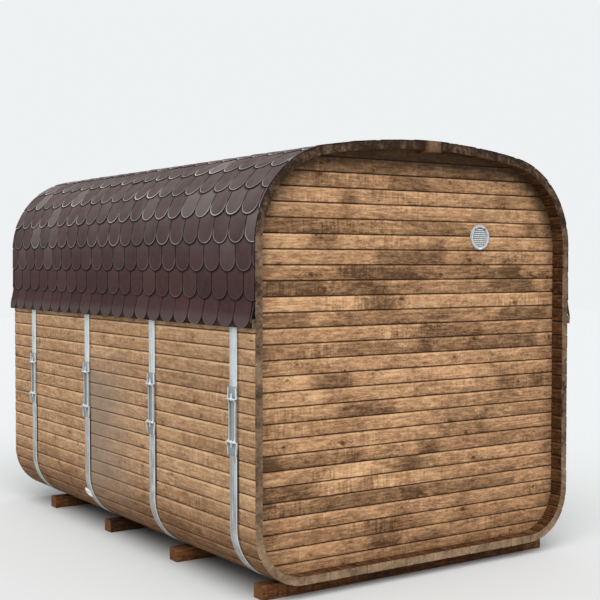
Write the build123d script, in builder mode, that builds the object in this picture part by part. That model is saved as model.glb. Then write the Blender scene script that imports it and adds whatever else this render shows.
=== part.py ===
from build123d import *
import os
from math import atan2, degrees, radians, sin, sqrt

# An outdoor sauna built like a squared barrel. Horizontal staves form a tube with rounded feet, rounded
# shoulders and a low crown. Plank end walls sit in grooves inside the tube, steel straps pull the staves
# together, cross bearers lift it off the ground and bitumen shingles cover the crown and the upper sides.
# Lengths are millimetres. X runs across the body, Y from the vent end to the door end, Z up.
# The origin is on the ground, at the centre of the footprint.

# Body of staves
body_width = 2288
body_height = 2388
body_length = 3430
stave_thickness = 45
foot_radius = 310
shoulder_radius = 530
crown_radius = 4085

# Fits between pieces
fit = 0.3
strap_fit = 0.4

# Cross bearers under the floor
bearer_height = 80
bearer_width = 92
bearer_inset = 114
bearer_depths = [156, 1114, 2039, 2971]

# Ridge beam that closes the ring of staves
ridge_beam_width = 96
ridge_beam_height = 64
ridge_beam_rise = 5
ridge_beam_offset = 37
ridge_beam_reach = 20

# End walls
wall_thickness = 45
croze_depth = 10
vent_end_recess = 88
door_end_recess = 263

# Vent grille in the end wall
vent_offset = 481
vent_height = 1858
grille_diameter = 150
grille_sides = 48
grille_thickness = 9
grille_bevel = 3
pipe_diameter = 124
pipe_wall = 2
pipe_depth = 38
pipe_sides = 24
louvre_count = 9
louvre_width = 14
louvre_thickness = 1.6
louvre_tilt = 52

# Door at the far end
door_width = 640
door_height = 1760
door_thickness = 40
door_gap = 3
door_sill_height = 84
jamb_width = 42
frame_proud = 12
stop_width = 12

# Door hinges and handle
hinge_height = 90
hinge_width = 96
hinge_plate = 3
hinge_barrel_diameter = 13
hinge_spacing = 1300
handle_height = 960
handle_length = 380
handle_width = 42
handle_thickness = 28
handle_post_diameter = 26
handle_post_sides = 12
handle_post_length = 42
handle_post_spacing = 260
handle_inset = 70
handle_bevel = 7

# Straps round the body
strap_depths = [218, 1158, 2098, 3038]
strap_width = 72
strap_thickness = 2
upper_lip_height = 988
lower_lip_height = 762

# Strap tensioners, one on each side of each strap
upper_bracket_height = 62
lower_bracket_height = 72
upper_bracket_width = 88
lower_bracket_width = 100
bracket_end_width = 80
bracket_plate = 3
flange_reach = 8
lip_reach = 18
channel_width = 62
channel_depth = 12
channel_plate = 2
channel_bend_reach = 4.5
channel_bend_height = 12
channel_flange_slope = 14
bolt_diameter = 8
bolt_sides = 6
bolt_hole_diameter = 9
bolt_stand_off = 14.5
bolt_end_length = 30
nut_across_flats = 13
nut_thickness = 6.5
bolt_head_thickness = 5

# Eaves battens and roof covering
left_eaves_height = 1369
right_eaves_height = 1331
batten_thickness = 20
batten_height = 48
covering_thickness = 6
covering_drop = 6
kick_height = 131
kick_spread = 3
far_overhang = 20
ridge_cap_width = 250
ridge_cap_thickness = 4

# Places worked out from the sizes above
half_width = body_width / 2
shell_bottom = bearer_height
shell_top = shell_bottom + body_height
floor_top = shell_bottom + stave_thickness
vent_end = -body_length / 2
door_end = body_length / 2
foot_centre_x = half_width - foot_radius
foot_centre_z = shell_bottom + foot_radius
shoulder_centre_x = half_width - shoulder_radius
crown_centre_z = shell_top - crown_radius
shoulder_rise = sqrt((crown_radius - shoulder_radius) ** 2 - shoulder_centre_x**2)
shoulder_centre_z = crown_centre_z + shoulder_rise
quarter_turn = 90
half_turn = 180
shoulder_angle = degrees(atan2(shoulder_rise, shoulder_centre_x))
crown_angle = half_turn - 2 * shoulder_angle
beam_left = ridge_beam_offset - ridge_beam_width / 2
beam_right = ridge_beam_offset + ridge_beam_width / 2
beam_top = shell_top + ridge_beam_rise
vent_wall_y = vent_end + vent_end_recess
door_wall_y = door_end - door_end_recess - wall_thickness
door_wall_face = door_wall_y + wall_thickness
frame_face = door_wall_face + frame_proud
frame_back = door_wall_y - frame_proud
opening_width = door_width + 2 * (door_gap + jamb_width + fit)
opening_height = door_height + 2 * (door_gap + jamb_width + fit)
opening_bottom = floor_top + door_sill_height
door_centre_z = opening_bottom + opening_height / 2
strap_outside = strap_fit + strap_thickness
reach_beyond = 2 * body_width

# Centred horizontally and standing on its lower edge, for rectangles drawn upwards
standing = (Align.CENTER, Align.MIN)


def across(y):
    """A plane across the body at depth y; what is drawn on it runs back towards the vent end."""
    return Plane.XZ.offset(-y)


def body_section(inset, mode=Mode.ADD):
    """Fill the open sketch with the outline of the stave tube, moved inwards by inset."""
    side = half_width - inset
    bottom = shell_bottom + inset
    with BuildLine() as outline:
        Line((-foot_centre_x, bottom), (foot_centre_x, bottom))
        CenterArc((foot_centre_x, foot_centre_z), foot_radius - inset, -quarter_turn, quarter_turn)
        Line((side, foot_centre_z), (side, shoulder_centre_z))
        CenterArc((shoulder_centre_x, shoulder_centre_z), shoulder_radius - inset, 0, shoulder_angle)
        CenterArc((0, crown_centre_z), crown_radius - inset, shoulder_angle, crown_angle)
        CenterArc(
            (-shoulder_centre_x, shoulder_centre_z),
            shoulder_radius - inset,
            half_turn - shoulder_angle,
            shoulder_angle,
        )
        Line((-side, shoulder_centre_z), (-side, foot_centre_z))
        CenterArc((-foot_centre_x, foot_centre_z), foot_radius - inset, half_turn, quarter_turn)
    make_face(outline.edges(), mode=mode)


def arc_band(centre, radius, start, sweep):
    """Fill the open sketch with a stave-thick band inside an arc."""
    with BuildLine() as band:
        outer = CenterArc(centre, radius, start, sweep)
        inner = CenterArc(centre, radius - stave_thickness, start, sweep)
        Line(outer @ 0, inner @ 0)
        Line(outer @ 1, inner @ 1)
    make_face(band.edges())


def keep_between(left, right, bottom, top):
    """Keep only what the open sketch has inside these limits."""
    with Locations(((left + right) / 2, bottom)):
        Rectangle(right - left, top - bottom, align=standing, mode=Mode.INTERSECT)


def notch_for_beam():
    """Cut the notch that fits an end wall round the ridge beam out of the open sketch."""
    with Locations((ridge_beam_offset, beam_top - ridge_beam_height - fit)):
        Rectangle(ridge_beam_width + 2 * fit, ridge_beam_height, align=standing, mode=Mode.SUBTRACT)


def cut_crozes():
    """Cut the two grooves that the end walls sit in."""
    for wall_y in (vent_wall_y, door_wall_y):
        with BuildSketch(across(wall_y + wall_thickness + fit)) as croze:
            body_section(stave_thickness - croze_depth)
        extrude(croze.sketch, amount=wall_thickness + 2 * fit, mode=Mode.SUBTRACT)


def cut_strap_ways():
    """Cut shallow channels for the straps into a piece that lies against the staves."""
    for strap_depth in strap_depths:
        with BuildSketch(across(vent_end + strap_depth + strap_width / 2 + fit)) as strap_way:
            body_section(-strap_outside - fit)
        extrude(strap_way.sketch, amount=strap_width + 2 * fit, mode=Mode.SUBTRACT)


def save(piece, label):
    """Label a finished piece and write it to its own file."""
    piece.part.label = label
    export_step(piece.part, f"parts/{label}.step")


os.makedirs("parts", exist_ok=True)

# Flat floor of staves
with BuildPart() as floor_staves:
    with BuildSketch(across(door_end)):
        with Locations((0, shell_bottom)):
            Rectangle(2 * foot_centre_x, stave_thickness, align=standing)
    extrude(amount=body_length)
    cut_crozes()
save(floor_staves, "floor_staves")

# Rounded feet, upright walls and rounded shoulders, the left side first
for side, side_name in ((-1, "left"), (1, "right")):
    with BuildPart() as foot_staves:
        with BuildSketch(across(door_end)):
            centre = (side * foot_centre_x, foot_centre_z)
            foot_start = half_turn if side < 0 else -quarter_turn
            arc_band(centre, foot_radius, foot_start, quarter_turn)
        extrude(amount=body_length)
        cut_crozes()
    save(foot_staves, f"{side_name}_foot_staves")

    with BuildPart() as wall_staves:
        with BuildSketch(across(door_end)):
            with Locations((side * (half_width - stave_thickness / 2), foot_centre_z)):
                Rectangle(stave_thickness, shoulder_centre_z - foot_centre_z, align=standing)
        extrude(amount=body_length)
        cut_crozes()
    save(wall_staves, f"{side_name}_wall_staves")

    with BuildPart() as shoulder_staves:
        with BuildSketch(across(door_end)):
            shoulder_start = half_turn - shoulder_angle if side < 0 else 0
            centre = (side * shoulder_centre_x, shoulder_centre_z)
            arc_band(centre, shoulder_radius, shoulder_start, shoulder_angle)
        extrude(amount=body_length)
        cut_crozes()
    save(shoulder_staves, f"{side_name}_shoulder_staves")

    # Low crown, up to the ridge beam
    with BuildPart() as crown_staves:
        with BuildSketch(across(door_end)):
            arc_band((0, crown_centre_z), crown_radius, shoulder_angle, crown_angle)
            if side < 0:
                keep_between(-half_width, beam_left, shell_bottom, beam_top)
            else:
                keep_between(beam_right, half_width, shell_bottom, beam_top)
        extrude(amount=body_length)
        cut_crozes()
    save(crown_staves, f"{side_name}_crown_staves")

# Ridge beam, housed for the straps where they cross it
with BuildPart() as ridge_beam:
    with BuildSketch(across(door_end + ridge_beam_reach)):
        with Locations((ridge_beam_offset, beam_top - ridge_beam_height)):
            Rectangle(ridge_beam_width, ridge_beam_height, align=standing)
    extrude(amount=body_length + 2 * ridge_beam_reach)
    for strap_depth in strap_depths:
        with BuildSketch(across(vent_end + strap_depth + strap_width / 2 + fit)):
            with Locations((0, shell_bottom)):
                Rectangle(reach_beyond, 2 * body_height, align=standing)
            body_section(0, mode=Mode.SUBTRACT)
        extrude(amount=strap_width + 2 * fit, mode=Mode.SUBTRACT)
save(ridge_beam, "ridge_beam")

# End wall with the vent
with BuildPart() as vent_end_wall:
    with BuildSketch(across(vent_wall_y + wall_thickness)):
        body_section(stave_thickness - croze_depth + fit)
        notch_for_beam()
        with Locations((vent_offset, shell_bottom + vent_height)):
            Circle(pipe_diameter / 2 + fit, mode=Mode.SUBTRACT)
    extrude(amount=wall_thickness)
save(vent_end_wall, "vent_end_wall")

# Tilted louvres, as long as the vent pipe is wide at their outer edges
vent_z = shell_bottom + vent_height
pipe_radius = pipe_diameter / 2
louvre_pitch = 2 * (pipe_radius - pipe_wall) / (louvre_count + 1)
louvre_rise = louvre_width / 2 * sin(radians(louvre_tilt))
with BuildPart() as louvres:
    for row in range(louvre_count):
        rise = (row - (louvre_count - 1) / 2) * louvre_pitch
        louvre_length = 2 * sqrt((pipe_radius - pipe_wall / 2) ** 2 - (abs(rise) + louvre_rise) ** 2)
        with Locations((vent_offset, vent_wall_y, vent_z + rise)):
            Box(louvre_length, louvre_width, louvre_thickness, rotation=(louvre_tilt, 0, 0))

# Round vent grille: a bevelled rim, the louvres and a pipe through the wall
with BuildPart() as vent_grille:
    with BuildSketch(across(vent_wall_y)):
        with Locations((vent_offset, vent_z)):
            RegularPolygon(grille_diameter / 2, grille_sides)
            RegularPolygon(pipe_radius - pipe_wall, pipe_sides, mode=Mode.SUBTRACT)
    extrude(amount=grille_thickness)
    front_face = vent_grille.faces().sort_by(Axis.Y)[0]
    chamfer(front_face.outer_wire().edges(), grille_bevel)
    with BuildSketch(across(vent_wall_y + pipe_depth)):
        with Locations((vent_offset, vent_z)):
            RegularPolygon(pipe_radius, pipe_sides)
            RegularPolygon(pipe_radius - pipe_wall, pipe_sides, mode=Mode.SUBTRACT)
    extrude(amount=pipe_depth)
    add(louvres.part)
save(vent_grille, "vent_grille")

# End wall round the doorway, in pieces beside, over and under it
wall_pieces = {
    "door_end_wall_left": (-half_width, -opening_width / 2, shell_bottom, beam_top),
    "door_end_wall_right": (opening_width / 2, half_width, shell_bottom, beam_top),
    "door_end_wall_over": (-opening_width / 2, opening_width / 2, opening_bottom + opening_height, beam_top),
    "door_end_wall_under": (-opening_width / 2, opening_width / 2, shell_bottom, opening_bottom),
}
for wall_name, limits in wall_pieces.items():
    with BuildPart() as wall_piece:
        with BuildSketch(across(door_wall_face)):
            body_section(stave_thickness - croze_depth + fit)
            keep_between(*limits)
            notch_for_beam()
        extrude(amount=wall_thickness)
    save(wall_piece, wall_name)

# Door frame with a stop for the leaf
with BuildPart() as door_frame:
    with BuildSketch(across(frame_face)):
        with Locations((0, door_centre_z)):
            Rectangle(opening_width - 2 * fit, opening_height - 2 * fit)
            Rectangle(door_width - 2 * stop_width, door_height - 2 * stop_width, mode=Mode.SUBTRACT)
    extrude(amount=frame_face - frame_back)
    with BuildSketch(across(frame_face)):
        with Locations((0, door_centre_z)):
            Rectangle(door_width + 2 * door_gap, door_height + 2 * door_gap)
    extrude(amount=door_thickness + fit, mode=Mode.SUBTRACT)
save(door_frame, "door_frame")

# Door leaf
with BuildPart() as door_leaf:
    with BuildSketch(across(frame_face)):
        with Locations((0, door_centre_z)):
            Rectangle(door_width, door_height)
    extrude(amount=door_thickness)
save(door_leaf, "door_leaf")

# Two hinges over the gap between leaf and frame
hinge_x = (door_width + door_gap) / 2
for side, hinge_name in ((1, "upper"), (-1, "lower")):
    hinge_z = door_centre_z + side * hinge_spacing / 2
    with BuildPart() as door_hinge:
        with BuildSketch(Plane.XY.offset(hinge_z - hinge_height / 2)):
            with Locations((hinge_x, frame_face + hinge_plate / 2)):
                Rectangle(hinge_width, hinge_plate)
            with Locations((hinge_x, frame_face + hinge_barrel_diameter / 2)):
                Circle(hinge_barrel_diameter / 2)
        extrude(amount=hinge_height)
    save(door_hinge, f"door_hinge_{hinge_name}")

# Wooden pull handle on two posts
with BuildPart() as door_handle:
    handle_x = -door_width / 2 + handle_inset
    handle_z = opening_bottom + handle_height
    bar_y = frame_face + handle_post_length
    with Locations((handle_x, bar_y + handle_thickness / 2, handle_z)):
        Box(handle_width, handle_thickness, handle_length)
    chamfer(door_handle.edges().filter_by(Axis.Z), handle_bevel)
    with BuildSketch(across(bar_y + handle_thickness / 2)):
        with Locations((handle_x, handle_z)):
            with GridLocations(0, handle_post_spacing, 1, 2):
                RegularPolygon(handle_post_diameter / 2, handle_post_sides)
    extrude(amount=handle_post_length + handle_thickness / 2)
save(door_handle, "door_handle")

# Cross bearers, rebated where a strap passes between bearer and floor
for number, bearer_depth in enumerate(bearer_depths, start=1):
    with BuildPart() as bearer:
        with Locations((0, vent_end + bearer_depth, bearer_height / 2)):
            Box(body_width - 2 * bearer_inset, bearer_width, bearer_height)
        for strap_depth in strap_depths:
            with Locations((0, vent_end + strap_depth, bearer_height)):
                Box(reach_beyond, strap_width + 2 * fit, 2 * (strap_outside + fit), mode=Mode.SUBTRACT)
    save(bearer, f"bearer_{number}")

# Heights and sideways places of the strap tensioners
upper_lip_z = shell_bottom + upper_lip_height
lower_lip_z = shell_bottom + lower_lip_height
wall_side = half_width + strap_fit
band_side = half_width + strap_outside
bolt_x = half_width + bolt_stand_off
plate_side = band_side + bracket_plate
lip_side = plate_side + lip_reach
channel_base = wall_side + channel_plate
channel_bottom = lower_lip_z + fit
channel_top = upper_lip_z - fit
room_bottom = channel_bottom + channel_plate
room_top = channel_top - channel_plate
room_width = channel_width - 2 * channel_plate


def tapered_plate(y, lip_z, rise, lip_width, end_width):
    """Fill the open sketch with a plate that stands on its lip's height and narrows away from it."""
    with BuildLine() as edge:
        Polyline(
            (y - lip_width / 2, lip_z),
            (y + lip_width / 2, lip_z),
            (y + end_width / 2, lip_z + rise),
            (y - end_width / 2, lip_z + rise),
            close=True,
        )
    make_face(edge.edges())


def draw_bracket(y, side, lip_z, rise, lip_width):
    """Add a pressed bracket on the band: a tapered plate, a flange on each edge and a lip for the bolt.
    rise is the plate's height away from the lip, upwards or downwards."""
    direction = 1 if rise > 0 else -1
    with BuildSketch(Plane.YZ.offset(side * band_side)) as plate:
        tapered_plate(y, lip_z, rise, lip_width, bracket_end_width)
    extrude(plate.sketch, amount=side * (bracket_plate + flange_reach))
    with BuildSketch(Plane.XY.offset(lip_z)) as lip:
        with Locations((side * (band_side + lip_side) / 2, y)):
            Rectangle(lip_side - band_side, lip_width)
    extrude(lip.sketch, amount=direction * bracket_plate)
    inner_rise = rise - direction * (bracket_plate - fit)
    inner_width = lip_width - 2 * bracket_plate
    with BuildSketch(Plane.YZ.offset(side * plate_side)) as tray:
        inner_z = lip_z + direction * bracket_plate
        tapered_plate(y, inner_z, inner_rise, inner_width, bracket_end_width - 2 * bracket_plate)
    extrude(tray.sketch, amount=side * (flange_reach + fit), mode=Mode.SUBTRACT)
    with BuildSketch(Plane.XY.offset(lip_z - bracket_plate - fit)) as bolt_hole:
        with Locations((side * bolt_x, y)):
            RegularPolygon(bolt_hole_diameter / 2, bolt_sides, major_radius=False)
    extrude(bolt_hole.sketch, amount=2 * (bracket_plate + fit), mode=Mode.SUBTRACT)


def draw_bolt(y, side, lip_z, direction):
    """Add a bolt through a lip, its head in the channel and its nut in the bracket."""
    head_z = lip_z - direction * (fit + channel_plate)
    pieces = (
        (head_z, -bolt_head_thickness, nut_across_flats, 6),
        (head_z, fit + channel_plate + bolt_end_length, bolt_diameter, bolt_sides),
        (lip_z + direction * bracket_plate, nut_thickness, nut_across_flats, 6),
    )
    for start_z, length, across_flats, sides in pieces:
        with BuildSketch(Plane.XY.offset(start_z)) as section:
            with Locations((side * bolt_x, y)):
                RegularPolygon(across_flats / 2, sides, major_radius=False)
        extrude(section.sketch, amount=direction * length)


# Straps: a band over the roof, a band under the floor and tensioners between them
for number, strap_depth in enumerate(strap_depths, start=1):
    strap_y = vent_end + strap_depth

    with BuildPart() as upper_band:
        with BuildSketch(across(strap_y + strap_width / 2)):
            body_section(-strap_outside)
            body_section(-strap_fit, mode=Mode.SUBTRACT)
            keep_between(-body_width, body_width, upper_lip_z, 2 * shell_top)
        extrude(amount=strap_width)
        for side in (-1, 1):
            draw_bracket(strap_y, side, upper_lip_z, upper_bracket_height, upper_bracket_width)
    save(upper_band, f"strap_{number}_upper_band")

    with BuildPart() as lower_band:
        with BuildSketch(across(strap_y + strap_width / 2)):
            body_section(-strap_outside)
            body_section(-strap_fit, mode=Mode.SUBTRACT)
            keep_between(-body_width, body_width, 0, lower_lip_z)
        extrude(amount=strap_width)
        for side in (-1, 1):
            draw_bracket(strap_y, side, lower_lip_z, -lower_bracket_height, lower_bracket_width)
    save(lower_band, f"strap_{number}_lower_band")

    # On each side a channel with bent-out ends on the staves, and a bolt through each of its ends
    with BuildPart() as tensioners:
        for side in (-1, 1):
            with BuildSketch(across(strap_y + channel_width / 2)) as channel:
                with BuildLine():
                    Polyline(
                        (side * wall_side, channel_bottom),
                        (side * lip_side, channel_bottom),
                        (side * lip_side, room_bottom),
                        (side * (wall_side + channel_depth), room_bottom + channel_flange_slope),
                        (side * (wall_side + channel_depth), room_top - channel_flange_slope),
                        (side * lip_side, room_top),
                        (side * lip_side, channel_top),
                        (side * wall_side, channel_top),
                        close=True,
                    )
                make_face()
            extrude(channel.sketch, amount=channel_width)
            with BuildSketch(across(strap_y + room_width / 2)) as channel_room:
                with BuildLine():
                    Polyline(
                        (side * (lip_side + fit), room_bottom),
                        (side * (channel_base + channel_bend_reach), room_bottom),
                        (side * channel_base, room_bottom + channel_bend_height),
                        (side * channel_base, room_top - channel_bend_height),
                        (side * (channel_base + channel_bend_reach), room_top),
                        (side * (lip_side + fit), room_top),
                        close=True,
                    )
                make_face()
            extrude(channel_room.sketch, amount=room_width, mode=Mode.SUBTRACT)
            draw_bolt(strap_y, side, lower_lip_z, -1)
            draw_bolt(strap_y, side, upper_lip_z, 1)
    save(tensioners, f"strap_{number}_tensioners")

# Eaves battens and the roof covering, the left side first
for side, side_name, eaves_height in ((-1, "left", left_eaves_height), (1, "right", right_eaves_height)):
    eaves_z = shell_bottom + eaves_height

    with BuildPart() as eaves_batten:
        with BuildSketch(across(door_end)):
            with Locations((side * (half_width + batten_thickness / 2), eaves_z)):
                Rectangle(batten_thickness, batten_height, align=standing)
        extrude(amount=body_length)
        cut_strap_ways()
    save(eaves_batten, f"{side_name}_eaves_batten")

    # The covering lies on the staves and its lowest course is kicked out over the batten
    with BuildPart() as roof_covering:
        kick_z = eaves_z + kick_height
        batten_x = half_width + batten_thickness
        with BuildSketch(across(door_end + far_overhang)):
            body_section(-covering_thickness)
            body_section(0, mode=Mode.SUBTRACT)
            if side < 0:
                keep_between(-body_width, beam_left, kick_z, 2 * shell_top)
            else:
                keep_between(beam_right, body_width, kick_z, 2 * shell_top)
            with BuildLine():
                Polyline(
                    (side * half_width, kick_z),
                    (side * batten_x, eaves_z + batten_height),
                    (side * (batten_x + kick_spread), eaves_z - covering_drop),
                    (side * (batten_x + kick_spread + covering_thickness), eaves_z - covering_drop),
                    (side * (batten_x + covering_thickness), eaves_z + batten_height),
                    (side * (half_width + covering_thickness), kick_z),
                    close=True,
                )
            make_face()
        extrude(amount=body_length + far_overhang)
        cut_strap_ways()
    save(roof_covering, f"{side_name}_roof_covering")

# Ridge cap over the beam and the edges of the covering, on whichever of them stands higher
with BuildPart() as ridge_cap:
    cap_left = ridge_beam_offset - ridge_cap_width / 2
    cap_right = ridge_beam_offset + ridge_cap_width / 2
    cap_seat = max(covering_thickness, ridge_beam_rise) + fit
    with BuildSketch(across(door_end + far_overhang)):
        body_section(-cap_seat - ridge_cap_thickness)
        body_section(-cap_seat, mode=Mode.SUBTRACT)
        keep_between(cap_left, cap_right, shoulder_centre_z, 2 * shell_top)
    extrude(amount=body_length + far_overhang)
save(ridge_cap, "ridge_cap")
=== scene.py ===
# %% [markdown]
# An outdoor sauna, dressed on its frame. The frame holds every solid at its real size: staves, end
# walls, door, straps, battens and roof covering. This script gives them what a frame leaves plain:
# separate boards with bevelled joints, shingle tabs, threaded bolts, and the finish of each surface.
# Everything is in metres. X runs across the body, Y from the vent end to the door end, Z up.

import random
from math import ceil, cos, floor, pi, radians, sin, sqrt, atan2

import bmesh
import bpy
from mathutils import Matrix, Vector


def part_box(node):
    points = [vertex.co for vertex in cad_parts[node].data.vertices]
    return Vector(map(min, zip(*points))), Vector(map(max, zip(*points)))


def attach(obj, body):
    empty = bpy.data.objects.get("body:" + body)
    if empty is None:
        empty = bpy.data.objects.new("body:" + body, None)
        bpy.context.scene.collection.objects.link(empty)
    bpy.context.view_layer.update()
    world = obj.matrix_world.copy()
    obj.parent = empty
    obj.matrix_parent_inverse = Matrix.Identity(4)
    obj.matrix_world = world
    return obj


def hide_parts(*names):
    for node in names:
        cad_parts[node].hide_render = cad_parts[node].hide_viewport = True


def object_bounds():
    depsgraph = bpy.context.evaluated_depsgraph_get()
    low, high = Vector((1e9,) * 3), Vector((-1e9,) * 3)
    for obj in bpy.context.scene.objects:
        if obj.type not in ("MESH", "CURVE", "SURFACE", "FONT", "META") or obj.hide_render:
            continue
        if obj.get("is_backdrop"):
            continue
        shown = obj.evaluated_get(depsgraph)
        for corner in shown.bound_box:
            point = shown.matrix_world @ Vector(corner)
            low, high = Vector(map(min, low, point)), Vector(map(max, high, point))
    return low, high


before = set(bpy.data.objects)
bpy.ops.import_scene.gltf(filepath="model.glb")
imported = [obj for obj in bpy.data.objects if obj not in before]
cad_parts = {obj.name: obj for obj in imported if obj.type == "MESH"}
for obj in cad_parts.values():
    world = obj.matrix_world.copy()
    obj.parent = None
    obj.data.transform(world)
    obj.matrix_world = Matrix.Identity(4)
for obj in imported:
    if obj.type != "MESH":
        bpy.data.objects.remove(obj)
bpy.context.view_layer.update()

# %% [markdown]
# The outline of the body comes back from the boxes of the frame's pieces. Only the two radii of the
# roof can't be read from a box, so they are written here. One number then walks round the whole
# outline: the distance along the outside of the staves, counted upwards from one joint on the wall.
# Every board joint and every course of shingles is placed by that distance.

# %% Sizes of the body
shoulder_radius = 0.530
crown_radius = 4.085

wall_low, wall_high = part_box("left_wall_staves")
floor_low, floor_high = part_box("floor_staves")
beam_low, beam_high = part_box("ridge_beam")
vent_wall_low, vent_wall_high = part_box("vent_end_wall")

half_width = -wall_low.x
stave_depth = wall_high.x - wall_low.x
vent_end = wall_low.y
door_end = wall_high.y
foot_z = wall_low.z
shoulder_z = wall_high.z
foot_radius = foot_z - floor_low.z
foot_centre_x = half_width - foot_radius
shoulder_centre_x = half_width - shoulder_radius
shoulder_angle = atan2(sqrt((crown_radius - shoulder_radius) ** 2 - shoulder_centre_x**2), shoulder_centre_x)
crown_centre_z = shoulder_z - (crown_radius - shoulder_radius) * sin(shoulder_angle)

print("body", round(2 * half_width, 3), "wide and", round(door_end - vent_end, 3), "long")

# %% Walk round the outline
joint_z = 1.3364
stave_pitch = 0.084

wall_start = foot_z - joint_z
wall_end = shoulder_z - joint_z
foot_start = wall_start - foot_radius * pi / 2
shoulder_end = wall_end + shoulder_radius * shoulder_angle
floor_start = foot_start - 2 * foot_centre_x
crown_top = shoulder_end + crown_radius * (pi / 2 - shoulder_angle)


def outline(side, distance):
    """Place, upward direction and outward direction on the outside of the staves, as (x, z) pairs."""
    if distance < foot_start:
        place, along, out = (-foot_centre_x + foot_start - distance, foot_z - foot_radius), (-1, 0), (0, -1)
    elif distance < wall_start:
        turn = (wall_start - distance) / foot_radius
        along, out = (-sin(turn), cos(turn)), (-cos(turn), -sin(turn))
        place = (-foot_centre_x + foot_radius * out[0], foot_z + foot_radius * out[1])
    elif distance < wall_end:
        place, along, out = (-half_width, joint_z + distance), (0, 1), (-1, 0)
    elif distance < shoulder_end:
        turn = (distance - wall_end) / shoulder_radius
        along, out = (sin(turn), cos(turn)), (-cos(turn), sin(turn))
        place = (-shoulder_centre_x + shoulder_radius * out[0], shoulder_z + shoulder_radius * out[1])
    else:
        turn = shoulder_angle + (distance - shoulder_end) / crown_radius
        along, out = (sin(turn), cos(turn)), (-cos(turn), sin(turn))
        place = (crown_radius * out[0], crown_centre_z + crown_radius * out[1])
    flip = -side
    return (flip * place[0], place[1]), (flip * along[0], along[1]), (flip * out[0], out[1])


def outline_3d(side, distance):
    """The same three as vectors, in the plane y = 0."""
    return [Vector((x, 0, z)) for x, z in outline(side, distance)]


print("crown top", round(outline(-1, crown_top)[0][1], 4))

# %% [markdown]
# Small helpers stand for what a hand does over and over. The first ones pick an object, go into edit
# mode and select the points or the edges to work on.

# %% Helpers for selecting
def pick(*objects):
    """Select only these objects and make the first one active."""
    if bpy.context.mode != "OBJECT":
        bpy.ops.object.mode_set(mode="OBJECT")
    bpy.ops.object.select_all(action="DESELECT")
    for obj in objects:
        obj.select_set(True)
    bpy.context.view_layer.objects.active = objects[0]


def edit(obj, action="SELECT"):
    """Go into edit mode on one object with everything or nothing selected."""
    pick(obj)
    bpy.ops.object.mode_set(mode="EDIT")
    bpy.ops.mesh.select_mode(type="EDGE")
    bpy.ops.mesh.select_all(action=action)


def select_where(obj, kind, wanted):
    """In edit mode, select the verts or the edges that wanted picks and nothing else."""
    bpy.ops.mesh.select_all(action="DESELECT")
    mesh = bmesh.from_edit_mesh(obj.data)
    for element in getattr(mesh, kind):
        element.select = wanted(element)
    mesh.select_flush_mode()
    bmesh.update_edit_mesh(obj.data)


def done():
    bpy.ops.object.mode_set(mode="OBJECT")


print("helpers for selecting ready")

# %% [markdown]
# A copy of a frame piece arrives as loose triangles, so its doubles are merged and its flat faces
# dissolved first. After that it can be sawn and bevelled like any mesh.

# %% Helpers for copies
merge_distance = 1e-5
flat_angle = radians(0.4)


def face_outwards(obj):
    """Turn all faces of an object outwards."""
    edit(obj)
    bpy.ops.mesh.normals_make_consistent(inside=False)
    done()


def apply_modifier(obj, kind, **settings):
    """Add a modifier, set it and apply it."""
    modifier = obj.modifiers.new(kind.lower(), kind)
    for key, value in settings.items():
        setattr(modifier, key, value)
    pick(obj)
    bpy.ops.object.modifier_apply(modifier=modifier.name)


def copy_of_node(node, name):
    """A merged copy of a frame piece's mesh with its flat faces whole."""
    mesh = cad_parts[node].data.copy()
    mesh.materials.clear()
    obj = bpy.data.objects.new(name, mesh)
    bpy.context.collection.objects.link(obj)
    pick(obj)
    bpy.ops.mesh.customdata_custom_splitnormals_clear()
    edit(obj)
    bpy.ops.mesh.remove_doubles(threshold=merge_distance)
    bpy.ops.mesh.dissolve_limited(angle_limit=flat_angle)
    done()
    return obj


def twin(obj, name):
    """A second object with its own mesh."""
    other = bpy.data.objects.new(name, obj.data.copy())
    bpy.context.collection.objects.link(other)
    return other


def merge_doubles(obj):
    """Merge the points that a bevel or a cut left on top of each other."""
    edit(obj)
    bpy.ops.mesh.remove_doubles(threshold=merge_distance)
    bpy.ops.mesh.dissolve_degenerate(threshold=merge_distance)
    done()


def join(objects, name):
    """Make one object of many."""
    pick(*objects)
    if len(objects) > 1:
        bpy.ops.object.join()
    obj = bpy.context.object
    obj.name = name
    obj.data.name = name
    return obj


print("helpers for copies ready")

# %% [markdown]
# A saw is a bisect that throws one side away and closes the cut. What the finishes need to know about
# a face, such as its board, is written on the mesh as a number, and the direction of the grain as a
# flat map.

# %% Helpers for cutting and marking
cut_threshold = 1e-6


def saw(obj, point, normal, keep):
    """Cut an object at a plane and close the cut. keep is 1 for the side that the normal points to."""
    edit(obj)
    bpy.ops.mesh.bisect(
        plane_co=point,
        plane_no=normal,
        use_fill=True,
        clear_inner=keep > 0,
        clear_outer=keep < 0,
        threshold=cut_threshold,
    )
    done()


def bevel_edges(obj, wanted, width):
    """Bevel the edges that wanted picks."""
    edit(obj)
    select_where(obj, "edges", wanted)
    bpy.ops.mesh.bevel(offset=width, segments=1, affect="EDGES", clamp_overlap=True)
    done()
    merge_doubles(obj)


def face_number(obj, name, rule):
    """Write a number on every face of an object, worked out from the face, or the same for all."""
    layer = obj.data.attributes.get(name) or obj.data.attributes.new(name, "FLOAT", "FACE")
    for face in obj.data.polygons:
        layer.data[face.index].value = rule(face) if callable(rule) else rule


def flat_map(obj, name, flat_place):
    """Lay a UV map on an object from the place of each corner and of the face that it is on."""
    layer = obj.data.uv_layers.get(name) or obj.data.uv_layers.new(name=name)
    for face in obj.data.polygons:
        for loop in face.loop_indices:
            corner = obj.data.vertices[obj.data.loops[loop].vertex_index].co
            layer.data[loop].uv = flat_place(corner, face.center)


print("helpers for cutting and marking ready")

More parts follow.
